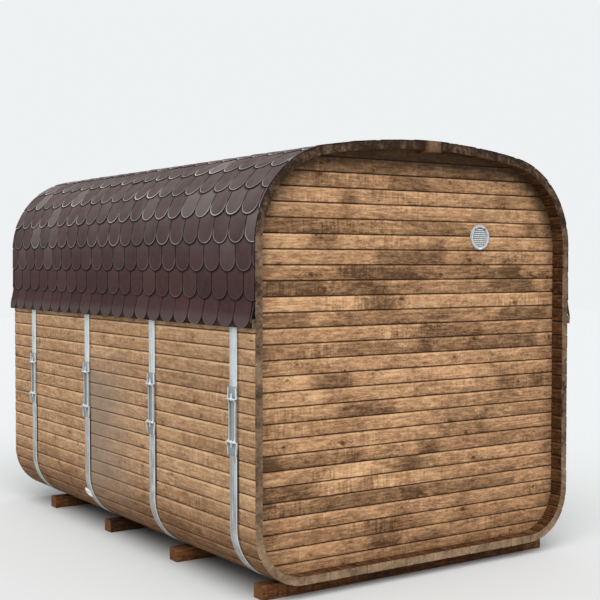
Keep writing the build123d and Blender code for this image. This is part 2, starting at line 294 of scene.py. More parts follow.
# %% [markdown]
# The body is made of horizontal staves, each 84 mm wide, with a bevel on both long edges. Two bevels
# meet in a V at each joint. The lower edge of a board looks down into the V and is painted dark, for
# the dirt in the joint and for its shade. The upper edge of the next board catches the sky, is toned
# darker, and has a painted highlight on the face just below it: that draws the fine double lines on
# the wall. One could model a single board and copy it, but the round feet and shoulders need tapered
# boards. So each stretch of the frame is sawn at the joints instead, as a cooper would think of it.

# %% Place, number and mark the boards
narrowest_board = 0.003
cut_lean = 0.95
bevel_lean = 0.4


def stops_between(low, high, start, pitch):
    """Both ends of a stretch and the joints inside it, which lie at whole pitches from a start."""
    steps = range(ceil((low - start) / pitch), floor((high - start) / pitch) + 1)
    joints = (start + step * pitch for step in steps)
    inner = [joint for joint in joints if low + narrowest_board < joint < high - narrowest_board]
    return [low] + inner + [high]


def tone_of(kind, number):
    """The same random shade each time for the same board."""
    return random.Random(f"{kind} {number}").random()


def number_board(board, number, tone):
    """Write a board's own number and shade on its faces."""
    face_number(board, "board", number)
    face_number(board, "tone", tone)


def mark_joint_faces(board, along):
    """Write groove on the cuts and on the bevels that look down, and worn on the bevels that look up."""
    def groove(face):
        lean = face.normal.dot(along)
        return 1.0 if lean > cut_lean or lean < -bevel_lean else 0.0

    def worn(face):
        return 1.0 if bevel_lean < face.normal.dot(along) <= cut_lean else 0.0

    face_number(board, "groove", groove)
    face_number(board, "worn", worn)


print("joints on the wall", len(stops_between(wall_start, wall_end, 0.0, stave_pitch)) - 2)

# %% [markdown]
# One board is the stretch of the tube between two cuts. Only the edges on the outer and the inner
# surface get a bevel, the lower one wider than the upper one. The grain map is measured from the
# middle of the board, so it runs level with it round a foot or a shoulder too.

# %% Saw one board
joint_gap = 0.0003
upper_bevel = 0.0030
lower_bevel = 0.0062
surface_tolerance = 0.0016
joint_tolerance = 2e-5


def saw_stave(blank, side, stops, are_joints):
    """One board between two distances on the outline, bevelled where it meets its neighbours."""
    board = twin(blank, "board")
    for distance, is_joint, keep, width in zip(stops, are_joints, (1, -1), (lower_bevel, upper_bevel)):
        if not is_joint:
            continue
        place, along, out = outline_3d(side, distance)
        cut = place + along * keep * joint_gap / 2
        saw(board, cut, along, keep)

        def on_joint(edge):
            if abs(edge.verts[0].co.y - edge.verts[1].co.y) < 0.01:
                return False
            if any(abs((vert.co - cut).dot(along)) > joint_tolerance for vert in edge.verts):
                return False
            heights = [(vert.co - cut).dot(out) for vert in edge.verts]
            return min(heights) > -surface_tolerance or max(heights) < surface_tolerance - stave_depth

        bevel_edges(board, on_joint, width)

    middle = sum(stops) / 2
    place, along, out = outline_3d(side, middle)
    mark_joint_faces(board, along)
    flat_map(board, "grain", lambda corner, _: (corner.y, middle + (corner - place).dot(along)))
    return board


print("bevels", upper_bevel, "and", lower_bevel)

# %% [markdown]
# No two boards were cut to quite the same length, so each end is set back by up to 3 mm. The boards of
# one stretch are then joined, so that each solid of the frame keeps one piece to stand for it.

# %% Saw every stretch into boards
end_wander = 0.003


def wander_ends(board, chance):
    """Set the two ends of a board back by up to a few millimetres."""
    near, far = chance.uniform(0, end_wander), chance.uniform(0, end_wander)
    for vert in board.data.vertices:
        if vert.co.y < vent_end + 1e-4:
            vert.co.y += near
        elif vert.co.y > door_end - 1e-4:
            vert.co.y -= far


def stave_boards(node, name, side, low, high):
    """All boards of one stretch of the tube, joined into one piece."""
    blank = copy_of_node(node, "blank")
    stops = stops_between(low, high, 0.0, stave_pitch)
    boards = []
    for first, second in zip(stops, stops[1:]):
        board = saw_stave(blank, side, (first, second), (first != low, second != high))
        number = floor((first + second) / 2 / stave_pitch)
        number_board(board, number + 100 * side, tone_of(side, number))
        wander_ends(board, random.Random(f"end {side} {number}"))
        boards.append(board)
    bpy.data.objects.remove(blank)
    piece = join(boards, name)
    print(name, len(boards), "boards")
    return piece


both_sides = ((-1, "left", crown_top + beam_low.x), (1, "right", crown_top - beam_high.x))

stave_pieces = {"floor_staves": stave_boards("floor_staves", "floor_boards", -1, floor_start, foot_start)}
for side, hand, crown_end in both_sides:
    stretches = (
        ("foot", foot_start, wall_start),
        ("wall", wall_start, wall_end),
        ("shoulder", wall_end, shoulder_end),
        ("crown", shoulder_end, crown_end),
    )
    for stretch, low, high in stretches:
        node = f"{hand}_{stretch}_staves"
        stave_pieces[node] = stave_boards(node, f"{hand}_{stretch}_boards", side, low, high)

# %% [markdown]
# The end walls are planks too, laid across the body and let into grooves in the staves. On the vent
# end the stain has gone dark and grey in some lengths of plank and stayed honey yellow in others, so
# those lengths are listed as one would touch them in with a brush: the plank, counted from the joint
# above the vent, where the mark starts and ends, and how dark it is. A minus makes a pale one.

# %% Weather marks on the end wall
mark_fade = 0.05

weather_marks = (
    (0, -0.75, -0.50, 0.10), (0, -0.20, 0.08, 0.22), (-1, -0.53, -0.43, 0.30), (-2, -0.52, -0.46, 0.22),
    (-2, 0.44, 0.52, 0.14), (-3, -1.10, -0.40, 0.10), (-3, 0.00, 0.40, 0.14), (-3, 0.86, 0.94, 0.34),
    (-4, -0.74, -0.57, 0.18), (-4, 0.09, 0.20, 0.20), (-4, -1.10, -0.80, -0.08), (-5, -1.10, -0.32, -0.10),
    (-5, -0.30, 0.20, 0.20), (-6, -1.10, -0.58, -0.08), (-6, -0.54, 0.14, 0.18), (-6, 0.64, 0.83, 0.22),
    (-7, -1.10, -0.66, 0.36), (-7, -0.62, -0.22, 0.26), (-7, 0.57, 0.93, 0.24), (-8, -1.10, -0.45, -0.12),
    (-8, -0.40, -0.16, 0.30), (-8, -0.08, 1.10, -0.08), (-9, -1.10, -0.76, 0.22), (-9, -0.60, 0.40, 0.12),
    (-9, 0.64, 1.05, 0.26), (-10, -1.10, -0.10, -0.08), (-10, 0.00, 0.52, 0.18), (-11, -1.10, -0.20, 0.10),
    (-11, 0.00, 0.12, 0.24), (-11, 0.25, 1.00, 0.14), (-13, -1.10, -0.78, -0.12), (-13, -0.72, -0.47, 0.34),
    (-13, -0.10, 0.60, -0.08), (-14, -1.10, -0.66, -0.06), (-14, -0.62, -0.50, 0.20), (-14, 0.62, 0.81, 0.22),
    (-14, 0.90, 1.02, 0.30), (-15, -0.52, -0.17, 0.30), (-15, 0.20, 0.85, 0.16), (-16, -0.90, 0.10, -0.05),
    (-17, -1.10, -0.30, -0.06), (-17, 0.16, 0.52, 0.12), (-18, -1.10, -0.96, 0.30), (-18, -0.50, -0.40, 0.22),
    (-18, 0.02, 0.17, 0.26), (-19, -0.68, -0.36, -0.22), (-19, -0.13, 0.02, 0.26), (-20, -1.10, -0.71, 0.34),
    (-20, -0.40, -0.30, 0.20), (-21, -1.10, 0.04, 0.26), (-21, 0.10, 0.60, 0.12), (-22, -0.90, -0.20, -0.08),
    (-23, -0.38, -0.10, 0.18), (-23, 0.10, 0.30, -0.12), (-24, -0.34, -0.11, 0.40), (-24, -0.05, 0.30, 0.16),
    (-24, 0.36, 0.41, 0.24), (-25, -0.92, -0.36, -0.16),
)


def weather(plank, marks):
    """Paint the listed marks of one plank on its points, fading at both ends."""
    layer = plank.data.attributes.new("mark", "FLOAT", "POINT")
    for vert in plank.data.vertices:
        painted = 0.0
        for _, start, end, darkness in marks:
            inside = min(vert.co.x - start, end - vert.co.x) / mark_fade + 0.5
            painted += darkness * min(max(inside, 0.0), 1.0)
        layer.data[vert.index].value = painted


print(len(weather_marks), "weather marks")

# %% [markdown]
# The planks are sawn from the frame's walls by level planes. Upright cuts 45 mm apart come first: they
# add the points on which the marks are painted. The door end gets marks of its own, drawn at random.

# %% Saw the end walls into planks
end_joint_z = 2.1922
end_pitch = 0.0839
plank_cut_spacing = 0.045


def saw_plank(blank, stops, are_joints):
    """One plank between two heights, bevelled along its joints on both faces of the wall."""
    plank = twin(blank, "plank")
    for height, is_joint, keep, width in zip(stops, are_joints, (1, -1), (lower_bevel, upper_bevel)):
        if not is_joint:
            continue
        level = height + keep * joint_gap / 2
        saw(plank, (0, 0, level), (0, 0, 1), keep)

        def on_joint(edge):
            first, second = edge.verts
            if abs(first.co.x - second.co.x) < 0.001 or abs(first.co.y - second.co.y) > 1e-4:
                return False
            return all(abs(vert.co.z - level) < joint_tolerance for vert in edge.verts)

        bevel_edges(plank, on_joint, width)
    mark_joint_faces(plank, Vector((0, 0, 1)))
    flat_map(plank, "grain", lambda corner, _: (corner.x, corner.z - end_joint_z))
    return plank


def end_planks(node, name, marks):
    """All planks of one end wall piece, joined."""
    blank = copy_of_node(node, "blank")
    low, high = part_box(node)
    for step in range(ceil(low.x / plank_cut_spacing), floor(high.x / plank_cut_spacing) + 1):
        place = (step * plank_cut_spacing, 0, 0)
        edit(blank)
        bpy.ops.mesh.bisect(plane_co=place, plane_no=(1, 0, 0), threshold=cut_threshold)
        done()
    stops = stops_between(low.z, high.z, end_joint_z, end_pitch)
    planks = []
    for first, second in zip(stops, stops[1:]):
        plank = saw_plank(blank, (first, second), (first != low.z, second != high.z))
        number = floor(((first + second) / 2 - end_joint_z) / end_pitch)
        number_board(plank, number, tone_of("end", number))
        weather(plank, [mark for mark in marks if mark[0] == number])
        planks.append(plank)
    bpy.data.objects.remove(blank)
    piece = join(planks, name)
    print(name, len(planks), "planks")
    return piece


def random_marks(chance):
    """Marks for the door end, which is as weathered as the vent end but in other places."""
    marks = []
    for number in range(-26, 3):
        for _ in range(2):
            start = chance.uniform(-1.0, 0.8)
            marks.append((number, start, start + chance.uniform(0.1, 0.5), chance.uniform(-0.12, 0.32)))
    return marks


wall_pieces = {"vent_end_wall": end_planks("vent_end_wall", "vent_end_planks", weather_marks)}
door_end_marks = random_marks(random.Random("door end"))
for place in ("left", "right", "over", "under"):
    node = f"door_end_wall_{place}"
    wall_pieces[node] = end_planks(node, f"door_end_planks_{place}", door_end_marks)

# %% [markdown]
# The roof is covered with bitumen shingles. Each strip has round tabs, the strips are staggered by
# half a tab, and each tab hides the slot of the strip below. One tab is modelled flat: the lower half
# of a circle, squeezed to an ellipse, with its straight part extruded upwards, and a thickness from a
# Solidify modifier that is applied. Copies of it are laid in courses and bent onto the roof line. A
# tab lies on the course below for one exposure and steps down to the deck above it, so its straight
# part has a row of faces just where that step comes.

# %% Model one flat shingle tab
tab_pitch = 0.1655
tab_slot = 0.006
tab_round = 0.062
tab_exposure = 0.150
tab_head_gap = 0.010
tab_length = 2 * tab_exposure - tab_head_gap
tab_thickness = 0.0028
round_points = 20
tab_half = (tab_pitch - tab_slot) / 2
step_start = tab_exposure - 0.007
step_end = tab_exposure
tab_rows = (0.102, step_start, step_end, 0.195, 0.242, tab_length)


def extrude_rows(obj, start, rows):
    """Extrude the upper border of a flat sheet from one row to the next, all along Y."""
    for row in rows:
        select_where(obj, "edges", lambda edge: all(abs(vert.co.y - start) < 1e-5 for vert in edge.verts))
        bpy.ops.mesh.extrude_region_move(TRANSFORM_OT_translate={"value": (0, row - start, 0)})
        start = row


def thicken(obj, thickness):
    """Turn a flat sheet face up and give it a thickness."""
    face_outwards(obj)
    if obj.data.polygons[0].normal.z < 0:
        edit(obj)
        bpy.ops.mesh.flip_normals()
        done()
    apply_modifier(obj, "SOLIDIFY", thickness=thickness, offset=1)


def mark_cut_edges(obj):
    face_number(obj, "cut", lambda face: 1.0 if abs(face.normal.z) < 0.5 else 0.0)


def flat_tab():
    """One tab lying flat: its tip at y = 0, its head upwards along Y."""
    bpy.ops.object.select_all(action="DESELECT")
    bpy.ops.mesh.primitive_circle_add(vertices=round_points, radius=tab_half, fill_type="NOTHING")
    tab = bpy.context.object
    edit(tab, "DESELECT")
    bpy.ops.mesh.select_mode(type="VERT")
    select_where(tab, "verts", lambda vert: vert.co.y > 1e-4)
    bpy.ops.mesh.delete(type="VERT")
    bpy.ops.mesh.select_all(action="SELECT")
    bpy.ops.transform.resize(value=(1, tab_round / tab_half, 1), center_override=(0, 0, 0))
    bpy.ops.transform.translate(value=(0, tab_round, 0))
    bpy.ops.mesh.edge_face_add()
    mesh = bmesh.from_edit_mesh(tab.data)
    levels = sorted({round(vert.co.y, 5) for vert in mesh.verts})
    for level in levels[1:-1]:
        select_where(tab, "verts", lambda vert: abs(vert.co.y - level) < 1e-4)
        bpy.ops.mesh.vert_connect()
    bpy.ops.mesh.select_mode(type="EDGE")
    extrude_rows(tab, tab_round, tab_rows)
    done()
    thicken(tab, tab_thickness)
    flat_map(tab, "tab", lambda corner, _: (corner.x, corner.y))
    return tab


tab = flat_tab()
print("one tab", len(tab.data.polygons), "faces")

# %% [markdown]
# The roof line starts at the drip edge, leans in over the eaves batten and then follows the staves.
# The lowest course therefore stands away from the wall, as it does on the real roof.

# %% The line of the roof
drip_spread = 0.003
batten_boxes = {-1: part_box("left_eaves_batten"), 1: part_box("right_eaves_batten")}
covering_boxes = {-1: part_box("left_roof_covering"), 1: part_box("right_roof_covering")}
kick_rise = 0.131


def roof_line(side):
    """Corners of the roof's lowest stretch, from the drip edge up to the wall, and their distances."""
    batten_low, batten_high = batten_boxes[side]
    batten_x = max(abs(batten_low.x), abs(batten_high.x))
    corners = [
        (batten_x + drip_spread, covering_boxes[side][0].z),
        (batten_x, batten_high.z),
        (half_width, batten_low.z + kick_rise),
    ]
    distances = [0.0]
    for (x0, z0), (x1, z1) in zip(corners, corners[1:]):
        distances.append(distances[-1] + sqrt((x1 - x0) ** 2 + (z1 - z0) ** 2))
    return corners, distances


roof_lines = {side: roof_line(side) for side in (-1, 1)}


def roof_point(side, distance, height):
    """Where a point of the flat sheet comes to lie, from its distance up the roof and its height."""
    corners, distances = roof_lines[side]
    if distance < distances[-1]:
        step = 1 if distance < distances[1] else 2
        (x0, z0), (x1, z1) = corners[step - 1], corners[step]
        run = distances[step] - distances[step - 1]
        share = (distance - distances[step - 1]) / run
        along = ((x1 - x0) / run, (z1 - z0) / run)
        x = x0 + share * (x1 - x0) + along[1] * height
        z = z0 + share * (z1 - z0) - along[0] * height
        return side * x, z
    start = corners[-1][1] - joint_z
    (x, z), _, (ox, oz) = outline(side, start + distance - distances[-1])
    return x + ox * height, z + oz * height


print("wall reached", round(roof_lines[-1][1][-1], 3), "m above the drip edge")

# %% [markdown]
# Each tab gets a shade of its own, a slightly lifted tip and a hair of misalignment. Tabs that run
# past the ends of the roof are sawn off there while they are still flat, and only then bent.

# %% Lay one tab
roof_front = vent_end + 0.002
roof_back = covering_boxes[-1][1].y
upper_course = 5
upper_exposure = 0.157
curl_reach = 0.09
curl_lift = (0.0004, 0.0030)
most_lean = 0.5
course_wobble = 0.002
first_course_rise = 0.003


def course_sizes(course):
    """Start, exposure and length of a course. The upper courses were laid a little wider apart."""
    start = course * tab_exposure + max(0, course - upper_course) * (upper_exposure - tab_exposure)
    exposure = tab_exposure if course < upper_course else upper_exposure
    return start, 2 * exposure - tab_head_gap


def underside(course, up_tab):
    """Height of a tab's underside: on the course below as far as the step, then on the deck."""
    return 0.0 if course == 0 or up_tab > step_start + 1e-4 else tab_thickness


def lay_tab(side, course, middle, chance, top_distance):
    """One tab, sawn to the borders of the roof and bent onto it."""
    copy = twin(tab, "tab")
    start, length = course_sizes(course)
    start += chance.uniform(-course_wobble, course_wobble) if course else first_course_rise
    stretch = (length - tab_round) / (tab_length - tab_round)
    lift = chance.uniform(*curl_lift) if course else 0.0
    lean = radians(chance.uniform(-most_lean, most_lean))
    for border, keep in ((roof_front, 1), (roof_back, -1)):
        if abs(border - middle) < tab_half + 0.003:
            saw(copy, (border - middle, 0, 0), (1, 0, 0), keep)
            lean = 0.0
    if start + length > top_distance:
        room = top_distance - start
        if room > tab_round:
            room = tab_round + (room - tab_round) / stretch
        saw(copy, (0, room, 0), (0, 1, 0), -1)
    mark_cut_edges(copy)
    for vert in copy.data.vertices:
        across, up, height = vert.co
        curl = lift * max(0.0, 1 - up / curl_reach) ** 2
        distance = start + (up if up < tab_round else tab_round + (up - tab_round) * stretch)
        distance = max(distance + across * lean, 0.0)
        x, z = roof_point(side, distance, height + underside(course, up) + curl)
        vert.co = (x, middle + across - up * lean, z)
    face_number(copy, "tone", chance.random())
    return copy


print("roof from", round(roof_front, 3), "to", round(roof_back, 3))

# %% [markdown]
# Courses follow each other up to the ridge beam, every second one shifted by half a tab. A whole
# course also drifts by a few millimetres, because nobody nails strips in a perfectly straight stack.

# %% Lay both sides of the roof
first_tab_y = -1.610
course_drift = 0.004
tab_drift = 0.0012


def lay_roof(side, name, top_distance):
    """All courses of one side of the roof as one piece."""
    chance = random.Random(f"roof {side}")
    course = 0
    tabs = []
    while course_sizes(course)[0] + 0.03 < top_distance:
        shift = tab_pitch / 2 if course % 2 else 0
        drift = chance.uniform(-course_drift, course_drift)
        first = floor((roof_front - first_tab_y) / tab_pitch) - 1
        last = ceil((roof_back - first_tab_y) / tab_pitch) + 1
        for step in range(first, last + 1):
            middle = first_tab_y + step * tab_pitch + shift + drift + chance.uniform(-tab_drift, tab_drift)
            if middle + tab_half > roof_front + 0.006 and middle - tab_half < roof_back - 0.006:
                tabs.append(lay_tab(side, course, middle, chance, top_distance))
        course += 1
    piece = join(tabs, name)
    face_outwards(piece)
    print(name, course, "courses,", len(tabs), "tabs,", len(piece.data.polygons), "faces")
    return piece


roof_pieces = {}
for side, hand, crown_end in both_sides:
    corners, distances = roof_lines[side]
    top = distances[-1] + crown_end - (corners[-1][1] - joint_z)
    roof_pieces[f"{hand}_roof_covering"] = lay_roof(side, f"{hand}_shingles", top)
bpy.data.objects.remove(tab)

# %% [markdown]
# Plain strips cut from the same shingles close the ridge. Each one covers the top of the one before
# it, and all are bent over the crown. A strip starts from one row of faces, and its length is extruded
# in rows like that of a tab.

# %% Lay the ridge cap
cap_low, cap_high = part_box("ridge_cap")
cap_thickness = 0.0019
cap_columns = 12
cap_slack = 0.0002
cap_end = cap_high.y - 0.0005
cap_lift = cap_thickness + cap_slack / 2
cap_rise = cap_high.z - (crown_centre_z + crown_radius) - 2 * cap_thickness - cap_slack


def flat_cap():
    """One cap strip lying flat, as wide as the cap, with its tip at y = 0."""
    bpy.ops.object.select_all(action="DESELECT")
    bpy.ops.mesh.primitive_grid_add(x_subdivisions=cap_columns, y_subdivisions=1, size=1)
    cap = bpy.context.object
    edit(cap)
    width = cap_high.x - cap_low.x
    bpy.ops.transform.translate(value=(0, 0.5, 0))
    bpy.ops.transform.resize(value=(width, tab_round, 1), center_override=(0, 0, 0))
    extrude_rows(cap, tab_round, tab_rows)
    done()
    thicken(cap, cap_thickness)
    flat_map(cap, "tab", lambda corner, _: (corner.x * 0.4, corner.y))
    return cap


def lay_cap():
    """All cap strips from the vent end to the door end as one piece."""
    chance = random.Random("cap")
    blank = flat_cap()
    middle_x = (cap_low.x + cap_high.x) / 2
    count = ceil((cap_end - cap_low.y) / tab_exposure)
    caps = []
    for number in range(count):
        copy = twin(blank, "cap")
        start = cap_low.y + number * tab_exposure
        if start + tab_length > cap_end:
            saw(copy, (0, cap_end - start, 0), (0, 1, 0), -1)
        mark_cut_edges(copy)
        for vert in copy.data.vertices:
            across, up, height = vert.co
            reach = crown_radius + cap_rise + height + (underside(number, up) and cap_lift)
            turn = (middle_x + across) / crown_radius
            vert.co = (reach * sin(turn), start + up, crown_centre_z + reach * cos(turn))
        face_number(copy, "tone", chance.random())
        caps.append(copy)
    bpy.data.objects.remove(blank)
    piece = join(caps, "ridge_cap_strips")
    face_outwards(piece)
    return piece


roof_pieces["ridge_cap"] = lay_cap()
print("ridge cap", len(roof_pieces["ridge_cap"].data.polygons), "faces")

# %% [markdown]
# Plain solids of the frame keep their shape and only lose their razor edges: a copy is merged and a
# Bevel modifier rounds it. That is enough for timbers such as the bearers, the battens, the ridge beam
# and the door frame, because the finish does the rest. The grain map turns with the timber.

# %% Round the edges of the plain timbers
leaf_low, leaf_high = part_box("door_leaf")
rounding_angle = radians(40)


def along_x(corner, centre):
    """Grain of a timber that lies across the body."""
    return corner.x, corner.y + corner.z


def along_y(corner, centre):
    """Grain of a timber that runs from end to end."""
    return corner.y, corner.x + corner.z


def along_z(corner, centre):
    """Grain of an upright timber."""
    return corner.z, corner.x + corner.y


def along_frame(corner, centre):
    """Grain of the door frame: upright in its posts, level in its head and its sill."""
    return along_z(corner, centre) if leaf_low.z < centre.z < leaf_high.z else along_x(corner, centre)


timber_edges = {
    "ridge_beam": (0.002, along_y),
    "left_eaves_batten": (0.0015, along_y),
    "right_eaves_batten": (0.0015, along_y),
    "door_frame": (0.002, along_frame),
    "door_handle": (0.002, along_z),
    **{f"bearer_{number}": (0.004, along_x) for number in range(1, 5)},
}


def rounded_copy(node, name, width, steps=2):
    """A copy of a frame piece with bevelled edges."""
    obj = copy_of_node(node, name)
    limits = {"limit_method": "ANGLE", "angle_limit": rounding_angle}
    apply_modifier(obj, "BEVEL", width=width, segments=steps, **limits)
    merge_doubles(obj)
    return obj


timber_pieces = {}
for node, (width, grain) in timber_edges.items():
    timber_pieces[node] = rounded_copy(node, f"{node}_timber", width)
    flat_map(timber_pieces[node], "grain", grain)
print("timbers", sorted(timber_pieces))

# %% [markdown]
# The door can't be seen from the photographed side. It is a plain ledged door of upright planks, sawn
# from the frame's leaf in the same way as the walls.

# %% Saw the door into planks
door_plank_width = 0.1065


def door_planks():
    """The door leaf as upright planks."""
    blank = copy_of_node("door_leaf", "blank")
    count = round((leaf_high.x - leaf_low.x) / door_plank_width)
    width = (leaf_high.x - leaf_low.x) / count
    planks = []
    for number in range(count):
        plank = twin(blank, "plank")
        sides = []
        for x, keep in ((leaf_low.x + number * width, 1), (leaf_low.x + (number + 1) * width, -1)):
            if leaf_low.x + 0.001 < x < leaf_high.x - 0.001:
                saw(plank, (x + keep * joint_gap / 2, 0, 0), (1, 0, 0), keep)
                sides.append(x + keep * joint_gap / 2)

        def on_joint(edge):
            if abs(edge.verts[0].co.z - edge.verts[1].co.z) < 0.01:
                return False
            return any(all(abs(vert.co.x - x) < joint_tolerance for vert in edge.verts) for x in sides)

        bevel_edges(plank, on_joint, upper_bevel)
        number_board(plank, 300 + number, tone_of("door", number))
        planks.append(plank)
    bpy.data.objects.remove(blank)
    door = join(planks, "door_planks")
    flat_map(door, "grain", along_z)
    return door


door_piece = door_planks()
print("door", len(door_piece.data.polygons), "faces")

# %% [markdown]
# Each strap is a band over the roof and a band under the floor, pulled together on both sides by two
# bolts and a channel. The pressed steel has no sharp edge, so every band gets a fine bevel. A bolt of
# the frame is a plain bar. Its bare end, past the nut, is where the thread shows: that end is pushed
# back into the nut, and a threaded one is modelled once and copied to every bolt. It grows from a
# circle by extruding half a pitch and widening, then half a pitch and narrowing, over and over. A real
# thread climbs as it turns. On a bolt of 8 mm the eye can't tell, so level ridges stand for it.

# %% Round the straps and thread their bolts
steel_edge = 0.0005
bolt_stand_off = 0.0145
thread_radius = 0.0040
thread_root = 0.00335
thread_pitch = 0.00125
thread_turns = 17
thread_sides = 16
thread_length = thread_turns * thread_pitch
strap_numbers = range(1, 5)
tensioner_boxes = [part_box(f"strap_{number}_tensioners") for number in strap_numbers]
strap_places = [(low.y + high.y) / 2 for low, high in tensioner_boxes]


def threaded_end():
    """The threaded end of one bolt, standing on z = 0."""
    bpy.ops.object.select_all(action="DESELECT")
    bpy.ops.mesh.primitive_circle_add(vertices=thread_sides, radius=thread_root, fill_type="NGON")
    end = bpy.context.object
    edit(end)
    for _ in range(thread_turns):
        for growth in (thread_radius / thread_root, thread_root / thread_radius):
            bpy.ops.mesh.extrude_region_move(TRANSFORM_OT_translate={"value": (0, 0, thread_pitch / 2)})
            bpy.ops.transform.resize(value=(growth, growth, 1), center_override=(0, 0, 0))
    done()
    return end


def push_bolt_ends(obj, tip_z, direction):
    """Push the bare bolt ends at one height back into their nuts."""
    edit(obj, "DESELECT")
    bpy.ops.mesh.select_mode(type="VERT")
    select_where(obj, "verts", lambda vert: abs(vert.co.z - tip_z) < merge_distance)
    bpy.ops.transform.translate(value=(0, 0, -direction * thread_length))
    done()


def threaded_tensioners(number, end):
    """The channels and bolts of one strap, with threaded bolt ends."""
    low, high = tensioner_boxes[number - 1]
    steel = copy_of_node(f"strap_{number}_tensioners", "steel")
    tips = ((low.z, -1), (high.z, 1))
    pieces = [steel]
    for tip_z, direction in tips:
        push_bolt_ends(steel, tip_z, direction)
        for side in (-1, 1):
            thread = twin(end, "thread")
            for vert in thread.data.vertices:
                across, along, up = vert.co
                place = side * (half_width + bolt_stand_off) + across
                vert.co = (place, strap_places[number - 1] + along, tip_z + direction * (up - thread_length))
            pieces.append(thread)
    piece = join(pieces, f"strap_{number}_bolts_and_channels")
    face_outwards(piece)
    return piece


strap_pieces = {}
bolt_end = threaded_end()
for number in strap_numbers:
    strap_pieces[f"strap_{number}_tensioners"] = threaded_tensioners(number, bolt_end)
    for part in ("upper_band", "lower_band"):
        node = f"strap_{number}_{part}"
        strap_pieces[node] = rounded_copy(node, f"{node}_rounded", steel_edge, steps=1)
bpy.data.objects.remove(bolt_end)
print(len(strap_pieces), "strap pieces, thread ends of", round(thread_length * 1000, 1), "mm")

# %% [markdown]
# Materials come next. They are all node trees, so a short helper adds a node, sets its values and
# links its inputs in one line. A few more stand for the sums that every finish needs. In each of them
# a value is either a plain number or the output of another node.

# %% Helpers for numbers in a node tree
def add(tree, kind, inputs=None, **settings):
    """Add a node, set its properties, and fill or link its inputs."""
    node = tree.nodes.new(kind)
    for key, value in settings.items():
        setattr(node, key, value)
    for socket, value in (inputs or {}).items():
        if isinstance(value, bpy.types.NodeSocket):
            tree.links.new(value, node.inputs[socket])
        else:
            node.inputs[socket].default_value = value
    return node


def maths(tree, operation, first, second=0.0, clamp=False):
    """One Math node; returns its output."""
    return add(tree, "ShaderNodeMath", {0: first, 1: second}, operation=operation, use_clamp=clamp).outputs[0]


def times(tree, *values):
    """The product of several values."""
    result = values[0]
    for value in values[1:]:
        result = maths(tree, "MULTIPLY", result, value)
    return result


def plus(tree, *values):
    """The sum of several values."""
    result = values[0]
    for value in values[1:]:
        result = maths(tree, "ADD", result, value)
    return result


def minus(tree, first, second):
    return maths(tree, "SUBTRACT", first, second)


def total(tree, *terms):
    """The sum of several (value, weight) pairs."""
    return plus(tree, *(times(tree, value, weight) for value, weight in terms))


def centred(tree, value):
    """A value moved so that its middle is nought."""
    return minus(tree, value, 0.5)


def ramp(tree, value, low, high, to_low=0.0, to_high=1.0, kind="SMOOTHSTEP"):
    """A smooth step from low to high; returns its output."""
    inputs = {"Value": value, "From Min": low, "From Max": high, "To Min": to_low, "To Max": to_high}
    return add(tree, "ShaderNodeMapRange", inputs, interpolation_type=kind).outputs["Result"]


print("helpers for numbers ready")

# %% [markdown]
# Places and colours have three numbers each, and helpers of their own. A noise reads a place that was
# stretched first, because one stretch for each axis is what turns round clouds into long grain.

# %% Helpers for places and colours
def vector_maths(tree, operation, first, second):
    inputs = {0: first, 1: second}
    return add(tree, "ShaderNodeVectorMath", inputs, operation=operation).outputs["Vector"]


def stretched(tree, place, scale):
    """A place stretched by three numbers."""
    return vector_maths(tree, "MULTIPLY", place, scale)


def vector(tree, x=0.0, y=0.0, z=0.0):
    return add(tree, "ShaderNodeCombineXYZ", {0: x, 1: y, 2: z}).outputs[0]


def parts(tree, place):
    """The three numbers of a place."""
    return add(tree, "ShaderNodeSeparateXYZ", {0: place}).outputs


def colour_parts(tree, colour):
    """The three numbers of a colour."""
    return add(tree, "ShaderNodeSeparateColor", {0: colour}).outputs


def size_of(tree, place):
    """How far a place lies from nought."""
    return add(tree, "ShaderNodeVectorMath", {0: place}, operation="LENGTH").outputs["Value"]


def distance_to(tree, place, point, scale):
    """How far a place lies from a point, with each axis stretched."""
    return size_of(tree, stretched(tree, vector_maths(tree, "SUBTRACT", place, point), scale))


def noise(tree, place, scale, detail=3.0, roughness=0.5, distortion=0.0):
    """A noise of one scale, or of one for each axis; returns its Fac output."""
    scales = scale if isinstance(scale, tuple) else (scale,) * 3
    inputs = {
        "Vector": stretched(tree, place, scales),
        "Scale": 1.0,
        "Detail": detail,
        "Roughness": roughness,
        "Distortion": distortion,
    }
    return add(tree, "ShaderNodeTexNoise", inputs).outputs["Fac"]


def mixed(tree, share, first, second, blend="MIX"):
    """A mix of two colours, each the output of a node or three numbers."""
    node = add(tree, "ShaderNodeMix", {0: share}, data_type="RGBA", blend_type=blend)
    for socket, colour in ((6, first), (7, second)):
        if isinstance(colour, bpy.types.NodeSocket):
            tree.links.new(colour, node.inputs[socket])
        else:
            node.inputs[socket].default_value = (*colour, 1)
    return node.outputs[2]


print("helpers for places and colours ready")

# %% [markdown]
# Effects that several materials share are node groups: the figure of sawn timber, the dirt that
# splashes up from the ground, and one dab of white filler. A group has named inputs, so each material
# gives it values of its own.

# %% Helpers for groups and materials
def new_group(name, inputs, outputs):
    """An empty shader node group; returns it with its inputs and its output node."""
    group = bpy.data.node_groups.new(name, "ShaderNodeTree")
    for socket, kind, default in inputs:
        made = group.interface.new_socket(socket, in_out="INPUT", socket_type=f"NodeSocket{kind}")
        if default is not None:
            made.default_value = default
    for socket, kind in outputs:
        group.interface.new_socket(socket, in_out="OUTPUT", socket_type=f"NodeSocket{kind}")
    return group, group.nodes.new("NodeGroupInput").outputs, group.nodes.new("NodeGroupOutput")


def give(tree, node, **values):
    """Link values to the inputs of a node. A space in a socket's name is written as an underscore."""
    for socket, value in values.items():
        tree.links.new(value, node.inputs[socket.replace("_", " ")])


